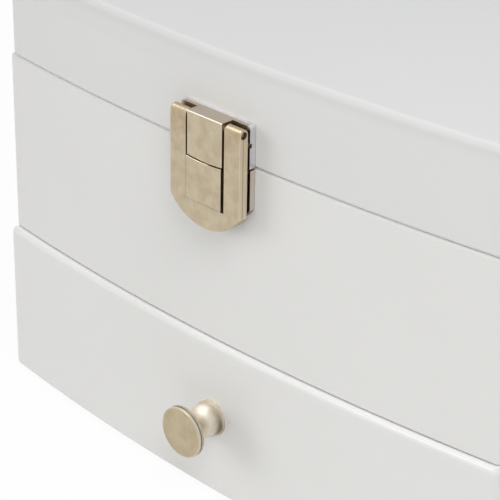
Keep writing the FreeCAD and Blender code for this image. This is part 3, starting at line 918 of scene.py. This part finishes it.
@dataclass(frozen=True)
class PhotoCamera:
    """The photograph's camera, as a turn round a point near the middle of the bowed front.

    Attributes:
        azimuth: The turn to the right of the front.
        elevation: The turn upwards.
        roll: The turn round the line of sight.
        distance: The distance from the point.
        lens: The focal length in millimetres.
        sensor: The sensor's width in millimetres.
        clip: The nearest and the farthest distance that is seen.
        right_of_middle: How far right of the box's middle the point lies.
        behind_bow: How far it lies behind the foremost part of the bow.
        above_drawer_foot: How far it lies above the drawer front's lower edge.
    """

    azimuth: float = math.radians(44.38)
    elevation: float = math.radians(26.87)
    roll: float = math.radians(1.02)
    distance: float = 563.11 * MM
    lens: float = 144.18
    sensor: float = 36.0
    clip: Pair = (0.01, 20.0)
    right_of_middle: float = 6.28 * MM
    behind_bow: float = 6.4 * MM
    above_drawer_foot: float = 79.83 * MM

    def set_up(self) -> None:
        """Adds the camera and makes it the scene's."""
        target = Vector((self.right_of_middle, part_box("case_front")[0].y + self.behind_bow,
                         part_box("drawer_front")[0].z + self.above_drawer_foot))
        level = math.cos(self.elevation)
        back = Vector((math.sin(self.azimuth) * level, -math.cos(self.azimuth) * level,
                       math.sin(self.elevation)))
        right = Vector((math.cos(self.azimuth), math.sin(self.azimuth), 0.0))
        up = back.cross(right)
        turned_right = right * math.cos(self.roll) + up * math.sin(self.roll)
        turned_up = back.cross(turned_right)
        data = bpy.data.cameras.new("photo_camera")
        data.lens = self.lens
        data.sensor_width = self.sensor
        data.clip_start, data.clip_end = self.clip
        camera = bpy.data.objects.new("photo_camera", data)
        turn = Matrix((turned_right, turned_up, back)).transposed()
        camera.matrix_world = Matrix.Translation(target + back * self.distance) @ turn.to_4x4()
        bpy.context.scene.collection.objects.link(camera)
        bpy.context.scene.camera = camera


@dataclass(frozen=True)
class Lamp:
    """A square lamp that faces the box.

    Attributes:
        name: The lamp's name.
        place: Where it hangs.
        size: Its side.
        power: Its power in watts.
        lights: True where it gives diffuse light.
        reflected: True where glossy surfaces mirror it.
        aim: The point in the box that it faces.
    """

    name: str
    place: Tuple[float, float, float]
    size: float
    power: float
    lights: bool = True
    reflected: bool = False
    aim: Tuple[float, float, float] = (0.0, 0.0, 0.07)

    def hang(self) -> None:
        """Adds the lamp."""
        data = bpy.data.lights.new(self.name, "AREA")
        data.size = self.size
        data.energy = self.power
        lamp = bpy.data.objects.new(self.name, data)
        lamp.location = self.place
        lamp.visible_diffuse = self.lights
        lamp.visible_glossy = self.reflected
        sight = Vector(self.aim) - lamp.location
        lamp.rotation_euler = sight.to_track_quat("-Z", "Y").to_euler()
        bpy.context.scene.collection.objects.link(lamp)


@dataclass
class Studio:
    """A white floor, a white surround and soft lamps.

    Attributes:
        floor_half: Half the side of the floor.
        floor_colour: The floor's colour where it takes part in the light.
        floor_glow: The share of plain white where the floor is seen.
        ambient: The surround's light.
        backdrop: The surround's level where it is seen.
        lamps: The lamps.
    """

    floor_half: float = 6.0
    floor_colour: Colour = (0.90, 0.90, 0.90)
    floor_glow: float = 0.95
    ambient: float = 0.50
    backdrop: float = 1.0
    lamps: Tuple[Lamp, ...] = (
        Lamp("right_lamp", (0.5, -0.35, 0.8), 0.5, 4.0),
        Lamp("left_lamp", (-1.15, -1.1, 0.38), 0.8, 5.7),
        Lamp("sheen_lamp", (-0.34, -0.45, 1.27), 0.8, 10.5, lights=False, reflected=True),
    )

    def set_up(self) -> None:
        """Adds the floor, the surround and the lamps."""
        bpy.context.scene.view_settings.view_transform = "Standard"
        self._floor()
        self._surround()
        for lamp in self.lamps:
            lamp.hang()

    @staticmethod
    def _seen_directly(graph: ShaderGraph) -> Signal:
        """Tells what is seen from what only gives light.

        Args:
            graph: The graph to add nodes to.

        Returns:
            One where the camera, a gloss or glass looks, and zero for other light.
        """
        kinds = ("Is Camera Ray", "Is Glossy Ray", "Is Transmission Ray")
        rays = [graph.add("ShaderNodeLightPath", {}, {}, kind) for kind in kinds]
        return rays[0].larger(rays[1]).larger(rays[2])

    def _floor(self) -> None:
        """Adds the floor."""
        Bench.clear()
        bpy.ops.mesh.primitive_plane_add(size=2 * self.floor_half, location=(0, 0, 0))
        floor = bpy.context.object
        floor.name = "studio_floor"
        material = bpy.data.materials.new("studio_floor")
        material.use_nodes = True
        graph = ShaderGraph(material.node_tree)
        matt = graph.add("ShaderNodeBsdfDiffuse", {}, {"Color": (*self.floor_colour, 1.0)})
        glow = graph.add("ShaderNodeEmission", {}, {"Color": WHITE, "Strength": 1.0})
        share = self._seen_directly(graph) * self.floor_glow
        mixed = graph.add("ShaderNodeMixShader", {}, {0: share, 1: matt, 2: glow})
        graph.add("ShaderNodeOutputMaterial", {}, {"Surface": mixed})
        floor.data.materials.append(material)

    def _surround(self) -> None:
        """Sets the white surround."""
        world = bpy.data.worlds.new("studio_surround")
        world.use_nodes = True
        graph = ShaderGraph(world.node_tree)
        light, seen = (graph.add("ShaderNodeBackground", {}, {"Color": WHITE, "Strength": strength})
                       for strength in (self.ambient, self.backdrop))
        share = self._seen_directly(graph)
        mixed = graph.add("ShaderNodeMixShader", {}, {0: share, 1: light, 2: seen})
        graph.add("ShaderNodeOutputWorld", {}, {"Surface": mixed})
        bpy.context.scene.world = world


class Bench:
    """Modelling steps on one mesh at a time, as by hand."""

    @staticmethod
    def clear() -> None:
        """Deselects everything."""
        bpy.ops.object.select_all(action="DESELECT")

    @staticmethod
    def choose(piece: bpy.types.Object) -> None:
        """Makes a piece the only one that is selected.

        Args:
            piece: The piece.
        """
        Bench.clear()
        piece.select_set(True)
        bpy.context.view_layer.objects.active = piece

    @staticmethod
    def _placed(name: str) -> bpy.types.Object:
        """Names the new piece and puts its place into its mesh.

        Args:
            name: The piece's name.

        Returns:
            The piece.
        """
        piece = bpy.context.object
        piece.name = name
        piece.data.name = name
        bpy.ops.object.transform_apply(location=True, rotation=True, scale=True)
        return piece

    @staticmethod
    def block(name: str, low: Vector, high: Vector) -> bpy.types.Object:
        """Adds a block between two corners.

        Args:
            name: The piece's name.
            low: Its lowest corner.
            high: Its highest corner.

        Returns:
            The block.
        """
        Bench.clear()
        bpy.ops.mesh.primitive_cube_add(size=1.0, location=(low + high) / 2)
        bpy.context.object.scale = high - low
        return Bench._placed(name)

    @staticmethod
    def bar(name: str, start: Vector, end: Vector, radius: float, sides: int) -> bpy.types.Object:
        """Adds a round bar between two points.

        Args:
            name: The piece's name.
            start: The middle of its first end.
            end: The middle of its second end.
            radius: Its radius.
            sides: How many sides it has.

        Returns:
            The bar.
        """
        Bench.clear()
        turn = (end - start).to_track_quat("Z", "Y").to_euler()
        bpy.ops.mesh.primitive_cylinder_add(vertices=sides, radius=radius, depth=(end - start).length,
                                            location=(start + end) / 2, rotation=turn)
        return Bench._placed(name)

    @staticmethod
    def pick(piece: bpy.types.Object, kind: Pick, wanted: Callable[[Any], bool]) -> None:
        """Opens a piece in edit mode with its wanted faces or edges selected.

        Args:
            piece: The piece.
            kind: Faces or edges.
            wanted: The test for each of them.
        """
        Bench.choose(piece)
        bpy.ops.object.mode_set(mode="EDIT")
        bpy.ops.mesh.select_mode(type=kind.value)
        bpy.ops.mesh.select_all(action="DESELECT")
        mesh = bmesh.from_edit_mesh(piece.data)
        for part in mesh.faces if kind is Pick.FACE else mesh.edges:
            part.select_set(wanted(part))
        bmesh.update_edit_mesh(piece.data)

    @staticmethod
    def close() -> None:
        """Leaves edit mode."""
        bpy.ops.object.mode_set(mode="OBJECT")

    @staticmethod
    def bevel(piece: bpy.types.Object, wanted: Callable[[Any], bool], width: float, steps: int) -> None:
        """Rounds the wanted edges.

        Args:
            piece: The piece.
            wanted: The test for each edge.
            width: The bevel's width.
            steps: How many steps it has.
        """
        Bench.pick(piece, Pick.EDGE, wanted)
        bpy.ops.mesh.bevel(offset=width, segments=steps, affect="EDGES")
        Bench.close()

    @staticmethod
    def inset(piece: bpy.types.Object, wanted: Callable[[Any], bool], width: float) -> None:
        """Insets the wanted faces.

        Args:
            piece: The piece.
            wanted: The test for each face.
            width: How far the new edge lies in.
        """
        Bench.pick(piece, Pick.FACE, wanted)
        bpy.ops.mesh.inset(thickness=width, depth=0.0)
        Bench.close()

    @staticmethod
    def modify(piece: bpy.types.Object, kind: str, **settings: Any) -> None:
        """Adds a modifier to a piece and applies it.

        Args:
            piece: The piece.
            kind: The modifier's type.
            settings: Its properties.
        """
        Bench.choose(piece)
        bpy.ops.object.modifier_add(type=kind)
        modifier = piece.modifiers[-1]
        for name, value in settings.items():
            setattr(modifier, name, value)
        bpy.ops.object.modifier_apply(modifier=modifier.name)

    @staticmethod
    def cut(piece: bpy.types.Object, tool: bpy.types.Object) -> None:
        """Cuts a tool out of a piece and removes the tool."""
        Bench.modify(piece, "BOOLEAN", operation="DIFFERENCE", solver="EXACT", object=tool)
        bpy.data.objects.remove(tool)

    @staticmethod
    def ease(piece: bpy.types.Object, width: float) -> None:
        """Rounds every sharp edge of a piece.

        Args:
            piece: The piece.
            width: The rounding's width.
        """
        Bench.modify(piece, "BEVEL", width=width, segments=EDGE_STEPS, limit_method="ANGLE",
                     angle_limit=SHARP_ANGLE)

    @staticmethod
    def copy(piece: bpy.types.Object, name: str, move: Vector) -> bpy.types.Object:
        """Copies a piece with its own mesh, moved.

        Args:
            piece: What is copied.
            name: The copy's name.
            move: How far the copy is moved.

        Returns:
            The copy.
        """
        Bench.choose(piece)
        bpy.ops.object.duplicate(linked=False)
        bpy.context.object.location = move
        return Bench._placed(name)

    @staticmethod
    def join(pieces: Sequence[bpy.types.Object], name: str) -> bpy.types.Object:
        """Joins pieces into one.

        Args:
            pieces: The pieces.
            name: The result's name.

        Returns:
            The joined piece.
        """
        Bench.choose(pieces[0])
        for piece in pieces[1:]:
            piece.select_set(True)
        bpy.ops.object.join()
        pieces[0].name = name
        pieces[0].data.name = name
        return pieces[0]

    @staticmethod
    def smooth(piece: bpy.types.Object, angle: float = SHARP_ANGLE) -> None:
        """Shades a piece smooth, apart from its sharp edges."""
        Bench.choose(piece)
        bpy.ops.object.shade_smooth_by_angle(angle=angle)


@dataclass
class SubAssembly:
    """A group of pieces that are made in the same way.

    Attributes:
        finishes: The materials by slot.
    """

    finishes: Dict[Slot, bpy.types.Material]

    def place(self, piece: bpy.types.Object, body: Body, slot: Slot, *nodes: str) -> None:
        """Dresses a piece and puts it in the place of frame nodes.

        Args:
            piece: The piece.
            body: What it rides on.
            slot: Its finish.
            nodes: The frame nodes that it stands for.
        """
        piece.data.materials.clear()
        piece.data.materials.append(self.finishes[slot])
        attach(piece, body.value)
        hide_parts(*nodes)
        LOG.info("built %s for %s", piece.name, ", ".join(nodes))


@dataclass
class VelvetBoards(SubAssembly):
    """The velvet-covered linings and dividers, with rolled edges.

    Attributes:
        edge: The radius of a lining's edges.
        divider_edge: The radius of a divider's edges.
        screw_hole: The radius of the hole round the knob's screw.
        hole_reach: Half the length of the bar that cuts the hole.
    """

    edge: float = 0.55 * MM
    divider_edge: float = 1.35 * MM
    screw_hole: float = 3.85 * MM
    hole_reach: float = 5.0 * MM

    def build(self) -> None:
        """Builds every board."""
        sides = ("left", "right", "front", "back")
        linings = ["floor_lining"] + ["wall_lining_" + side for side in sides]
        drawer_linings = ["drawer_floor_lining"] + ["drawer_lining_" + side for side in sides]
        dividers = ["long_divider", "cross_divider_front", "cross_divider_rear"]
        drawer_dividers = ["drawer_divider_left", "drawer_divider_right"]
        for body, boards, edge in ((Body.CASE, linings, self.edge),
                                   (Body.CASE, dividers, self.divider_edge),
                                   (Body.DRAWER, drawer_linings, self.edge),
                                   (Body.DRAWER, drawer_dividers, self.divider_edge)):
            for node in boards:
                self._board(node, body, edge)

    def _board(self, node: str, body: Body, edge: float) -> None:
        """Builds one board in the place of a node.

        Args:
            node: The frame node.
            body: What it rides on.
            edge: The radius of its edges.
        """
        low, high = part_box(node)
        board = Bench.block(node + "_velvet", low, high)
        if node == "drawer_lining_front":
            screw = middle("knob_screw")
            hole = Vector((screw.x, (low.y + high.y) / 2, screw.z))
            reach = Vector((0.0, self.hole_reach, 0.0))
            Bench.cut(board, Bench.bar("hole", hole - reach, hole + reach, self.screw_hole, ROUND_SIDES))
        Bench.ease(board, edge)
        Bench.smooth(board)
        self.place(board, body, Slot.VELVET, node)


@dataclass
class RingSection(SubAssembly):
    """The padded bed and the ring rolls on it.

    Attributes:
        count: How many rolls lie side by side.
        pitch: The distance from roll to roll.
        radius: A roll's radius before it is filled.
        sides: How many sides a roll has before it is filled.
        flat: How much of a roll is pressed flat underneath.
        end_round: The rounding of a roll's ends.
        voxel: The size of the cloth's faces.
        pressure: The pressure that fills the cloth.
        frames: How many frames the filling takes.
        swell: The most that the filled cloth may move.
        bed_edge: The rounding of the bed's edges.
        bed_steps: How many steps that rounding has.
    """

    count: int = 7
    pitch: float = 16.6 * MM
    radius: float = 7.7 * MM
    sides: int = 40
    flat: float = 1.5 * MM
    end_round: float = 3.0 * MM
    voxel: float = 1.7 * MM
    pressure: float = 4.0
    frames: int = 20
    swell: float = 0.7 * MM
    bed_edge: float = 3.0 * MM
    bed_steps: int = 5

    def build(self) -> None:
        """Builds the rolls and the bed."""
        low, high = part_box("ring_rolls")
        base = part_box("ring_bed")[1].z
        axis = high.z - (high.z - base + self.flat) / 2
        first = (low.y + high.y) / 2 - (self.count - 1) / 2 * self.pitch
        roll = self._roll(low.x, high.x, first, axis, base)
        rolls = [roll]
        for number in range(1, self.count):
            rolls.append(Bench.copy(roll, "roll", Vector((0.0, number * self.pitch, 0.0))))
        rolls = Bench.join(rolls, "ring_rolls_velvet")
        Bench.smooth(rolls, SOFT_ANGLE)
        self.place(rolls, Body.CASE, Slot.VELVET, "ring_rolls")
        self._bed()

    def _roll(self, left: float, right: float, y: float, z: float, base: float) -> bpy.types.Object:
        """Builds one roll as filled cloth that lies flat on the bed.

        Args:
            left: Its left end.
            right: Its right end.
            y: Its place from front to back.
            z: The height of its axis.
            base: The bed's top.

        Returns:
            The roll.
        """
        start = Vector((left + self.swell, y, z))
        end = Vector((right - self.swell, y, z))
        roll = Bench.bar("roll", start, end, self.radius, self.sides)

        def on_end(edge: Any) -> bool:
            """True for an edge round one of the roll's ends."""
            return abs(edge.verts[0].co.x - edge.verts[1].co.x) < TOUCH

        Bench.bevel(roll, on_end, self.end_round, EDGE_STEPS)
        Bench.pick(roll, Pick.FACE, lambda face: True)
        bpy.ops.mesh.bisect(plane_co=(0.0, y, base), plane_no=(0.0, 0.0, 1.0), use_fill=True,
                            clear_inner=True)
        Bench.close()
        roll.data.remesh_voxel_size = self.voxel
        Bench.choose(roll)
        bpy.ops.object.voxel_remesh()
        low = Vector((left, y - self.pitch / 2, base))
        high = Vector((right, y + self.pitch / 2, math.inf))
        self._fill(roll, low, high)
        Bench.modify(roll, "SUBSURF", levels=1, render_levels=1)
        return roll

    def _fill(self, pad: bpy.types.Object, low: Vector, high: Vector) -> None:
        """Fills a pad by cloth pressure, within its own space.

        Args:
            pad: The pad, already an even mesh.
            low: The lowest corner of its space.
            high: The highest corner of its space.
        """
        before = [vertex.co.copy() for vertex in pad.data.vertices]
        Bench.choose(pad)
        bpy.ops.object.modifier_add(type="CLOTH")
        cloth = pad.modifiers[-1]
        cloth.settings.use_pressure = True
        cloth.settings.uniform_pressure_force = self.pressure
        cloth.settings.effector_weights.gravity = 0.0
        scene = bpy.context.scene
        for frame in range(1, self.frames + 1):
            scene.frame_set(frame)
        bpy.ops.object.modifier_apply(modifier=cloth.name)
        scene.frame_set(1)
        for vertex, start in zip(pad.data.vertices, before):
            step = vertex.co - start
            if step.length > self.swell:
                step *= self.swell / step.length
            place = start + step
            vertex.co = [min(max(value, floor), roof) for value, floor, roof in zip(place, low, high)]

    def _bed(self) -> None:
        """Builds the bed, a block with rounded edges."""
        bed = Bench.block("ring_bed_velvet", *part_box("ring_bed"))
        Bench.bevel(bed, lambda edge: True, self.bed_edge, self.bed_steps)
        Bench.smooth(bed, SOFT_ANGLE)
        self.place(bed, Body.CASE, Slot.VELVET, "ring_bed")


@dataclass
class LidFittings(SubAssembly):
    """The lid's velvet board and the bevelled mirror in its window.

    Attributes:
        window_gap: How far the board's window stands inside the mirror's edge.
        rebate_gap: The play round the mirror in its rebate.
        cut_reach: How far the cuts in the board reach past the mirror's faces.
        edge: The radius of the board's edges.
        bevel_width: The width of the mirror's ground border, from the window's edge.
        bevel_depth: How far the ground border falls away.
    """

    window_gap: float = 3.0 * MM
    rebate_gap: float = 0.15 * MM
    cut_reach: float = 10.0 * MM
    edge: float = 0.8 * MM
    bevel_width: float = 8.0 * MM
    bevel_depth: float = 0.7 * MM

    def build(self) -> None:
        """Builds the board and the mirror."""
        low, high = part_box("lid_mirror")
        self._board(low, high)
        mirror = Bench.block("lid_mirror_glass", low, high)
        Bench.inset(mirror, lambda face: face.normal.z < -FACING, self.window_gap + self.bevel_width)

        def on_rim(corner: Vector) -> bool:
            """True for a corner of the glass's lower rim."""
            inside = min(corner.x - low.x, high.x - corner.x, corner.y - low.y, high.y - corner.y)
            return inside < TOUCH and corner.z < low.z + TOUCH

        Bench.pick(mirror, Pick.EDGE, lambda edge: all(on_rim(vertex.co) for vertex in edge.verts))
        bpy.ops.transform.translate(value=(0.0, 0.0, self.bevel_depth))
        Bench.close()
        Bench.smooth(mirror, GLASS_ANGLE)
        self.place(mirror, Body.LID, Slot.MIRROR, "lid_mirror")

    def _board(self, low: Vector, high: Vector) -> None:
        """Builds the velvet board round the mirror.

        Args:
            low: The mirror's lowest corner.
            high: The mirror's highest corner.
        """
        board = Bench.block("lid_lining_velvet", *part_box("lid_lining"))
        inward = Vector((self.window_gap, self.window_gap, 0.0))
        outward = Vector((self.rebate_gap, self.rebate_gap, 0.0))
        deep = Vector((0.0, 0.0, self.cut_reach))
        Bench.cut(board, Bench.block("window", low + inward - deep, high - inward + deep))
        Bench.cut(board, Bench.block("rebate", low - outward, high + outward + deep))
        Bench.ease(board, self.edge)
        Bench.smooth(board)
        self.place(board, Body.LID, Slot.VELVET, "lid_lining")


@dataclass(frozen=True)
class DriverCross:
    """The driver's recess in a head that faces along Y.

    Attributes:
        arm: The length of an arm from the middle.
        half_width: Half the width of an arm.
        depth: The depth of the recess.
    """

    arm: float
    half_width: float
    depth: float

    def cut(self, head: bpy.types.Object, face: Vector) -> None:
        """Cuts the recess.

        Args:
            head: The screw, or its head.
            face: The middle of the head's face.
        """
        for across, up in ((self.arm, self.half_width), (self.half_width, self.arm)):
            reach = Vector((across, self.depth, up))
            Bench.cut(head, Bench.block("arm", face - reach, face + reach))


@dataclass
class Screws(SubAssembly):
    """The countersunk screws of the hinges and the latch, and the knob's pan-head screw.

    Attributes:
        head: The radius of a countersunk head.
        shank: The radius of its shank.
        sink: The depth of its head.
        length: Its whole length.
        cross: Its driver's recess.
        hinge_spacing: The distance between the screws of a leaf.
        hinge_offset: Their distance from the hinge's axis.
        leaf: The thickness of a leaf.
        latch_offset: The distance of the latch's screws from the latch's middle.
        latch_above: Their height over the seam.
        latch_below: Their depth under the seam.
        knob_round: The rounding of the knob screw's head.
        knob_steps: How many steps that rounding has.
        knob_shank: The radius of its shank.
        knob_cross: Its driver's recess.
    """

    head: float = 1.8 * MM
    shank: float = 0.9 * MM
    sink: float = 0.9 * MM
    length: float = 5.0 * MM
    cross: DriverCross = DriverCross(arm=1.05 * MM, half_width=0.21 * MM, depth=0.6 * MM)
    hinge_spacing: float = 15.0 * MM
    hinge_offset: float = 8.4 * MM
    leaf: float = 1.0 * MM
    latch_offset: float = 10.1 * MM
    latch_above: float = 5.2 * MM
    latch_below: float = 6.2 * MM
    knob_round: float = 1.4 * MM
    knob_steps: int = 5
    knob_shank: float = 2.0 * MM
    knob_cross: DriverCross = DriverCross(arm=1.7 * MM, half_width=0.4 * MM, depth=1.2 * MM)

    def build(self) -> None:
        """Builds every set of screws."""
        hinges = [middle(pin) for pin in ("hinge_left_pin", "hinge_right_pin")]
        seam = hinges[0].z
        leaf_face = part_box("case_back")[1].y + self.leaf
        for node, body, level in (("case_hinge_screws", Body.CASE, seam - self.hinge_offset),
                                  ("lid_hinge_screws", Body.LID, seam + self.hinge_offset)):
            places = [Vector((hinge.x + side * self.hinge_spacing / 2, leaf_face, level))
                      for hinge in hinges for side in (-1, 1)]
            self._set(node, body, places, Vector((0.0, 1.0, 0.0)))
        latch_x = middle("latch_plate").x
        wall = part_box("latch_plate")[1].y
        plate_face = wall - PLATE_THICKNESS
        keeper_face = wall - KEEPER_THICKNESS
        for node, body, face, level in (("latch_plate_screws", Body.LID, plate_face, seam + self.latch_above),
                                        ("keeper_screws", Body.CASE, keeper_face, seam - self.latch_below)):
            places = [Vector((latch_x + side * self.latch_offset, face, level)) for side in (-1, 1)]
            self._set(node, body, places, Vector((0.0, -1.0, 0.0)))
        self._knob_screw()

    def _set(self, node: str, body: Body, places: Sequence[Vector], outward: Vector) -> None:
        """Builds the screws of one node.

        Args:
            node: The frame node.
            body: What they ride on.
            places: The middle of each head's face.
            outward: The way that the heads face.
        """
        first = self._screw(places[0], outward)
        screws = [first] + [Bench.copy(first, "screw", place - places[0]) for place in places[1:]]
        screws = Bench.join(screws, node + "_steel")
        Bench.smooth(screws, SCREW_ANGLE)
        self.place(screws, body, Slot.SCREW, node)

    def _screw(self, face: Vector, outward: Vector) -> bpy.types.Object:
        """Builds one countersunk screw.

        Args:
            face: The middle of its head's face.
            outward: The way that the head faces.

        Returns:
            The screw.
        """
        end = face - outward * self.length
        screw = Bench.bar("screw", end, face, self.shank, SHANK_SIDES)
        Bench.pick(screw, Pick.FACE, lambda part: part.normal.dot(outward) > FACING)
        bpy.ops.transform.translate(value=tuple(-outward * self.sink))
        bpy.ops.mesh.extrude_region_move(TRANSFORM_OT_translate={"value": tuple(outward * self.sink)})
        grow = self.head / self.shank
        bpy.ops.transform.resize(value=(grow, 1.0, grow), center_override=tuple(face))
        Bench.close()
        self.cross.cut(screw, face)
        return screw

    def _knob_screw(self) -> None:
        """Builds the pan-head screw inside the drawer."""
        low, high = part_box("knob_screw")
        axis = middle("knob_screw")
        radius = (high.x - low.x) / 2
        tip, seat, face = (Vector((axis.x, y, axis.z)) for y in (low.y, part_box("drawer_front")[1].y, high.y))

        def on_face(edge: Any) -> bool:
            """True for an edge round the head's face."""
            return min(vertex.co.y for vertex in edge.verts) > high.y - TOUCH

        head = Bench.bar("head", seat, face, radius, ROUND_SIDES)
        Bench.bevel(head, on_face, self.knob_round, self.knob_steps)
        self.knob_cross.cut(head, face)
        shank = Bench.bar("shank", tip, seat, self.knob_shank, SHANK_SIDES)
        screw = Bench.join([head, shank], "knob_screw_steel")
        Bench.smooth(screw, SCREW_ANGLE)
        self.place(screw, Body.DRAWER, Slot.SCREW, "knob_screw")


@dataclass
class Feet(SubAssembly):
    """The felt discs under the base.

    Attributes:
        radius: A disc's radius.
        edge: The rounding of its edges.
        steps: How many steps that rounding has.
    """

    radius: float = 7.0 * MM
    edge: float = 0.45 * MM
    steps: int = 3

    def build(self) -> None:
        """Builds the four discs."""
        low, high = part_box("felt_feet")
        corner = Vector((low.x + self.radius, low.y + self.radius, low.z))
        disc = Bench.bar("foot", corner, Vector((corner.x, corner.y, high.z)), self.radius, ROUND_SIDES)

        def on_rim(edge: Any) -> bool:
            """True for an edge round one of the disc's faces."""
            return abs(edge.verts[0].co.z - edge.verts[1].co.z) < TOUCH

        Bench.bevel(disc, on_rim, self.edge, self.steps)
        across = Vector((high.x - low.x - 2 * self.radius, 0.0, 0.0))
        deep = Vector((0.0, high.y - low.y - 2 * self.radius, 0.0))
        discs = [disc] + [Bench.copy(disc, "foot", move) for move in (across, deep, across + deep)]
        feet = Bench.join(discs, "felt_feet_soft")
        Bench.smooth(feet)
        self.place(feet, Body.CASE, Slot.FELT, "felt_feet")


def dress_frame(frame: Dict[str, Any], finishes: Dict[Slot, bpy.types.Material]) -> None:
    """Gives every frame node its finish.

    Args:
        frame: The loaded frame.
        finishes: The materials by slot.
    """
    fitted = fitted_finishes()
    names = {finish: name for name, finish in fitted.items()}
    made = {finish: finish.material(name) for finish, name in names.items()}
    for row in frame["record"]["subparts"]:
        name, slot = row["node"], row["material_slot"]
        node = frame["nodes"][name]
        node.data.materials.clear()
        node.data.materials.append(made[fitted[name]] if name in fitted else finishes[Slot(slot)])
        LOG.info("dressed %s in %s", name, slot)


def main() -> None:
    """Builds the looks in order."""
    logging.basicConfig(level=logging.INFO, format="%(message)s")
    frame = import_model()
    finishes = {slot: finish.material(slot.value) for slot, finish in FINISHES.items()}
    dress_frame(frame, finishes)
    for assembly in (VelvetBoards, RingSection, LidFittings, Screws, Feet):
        assembly(finishes).build()
    Studio().set_up()
    PhotoCamera().set_up()


if __name__ == "__main__":
    main()
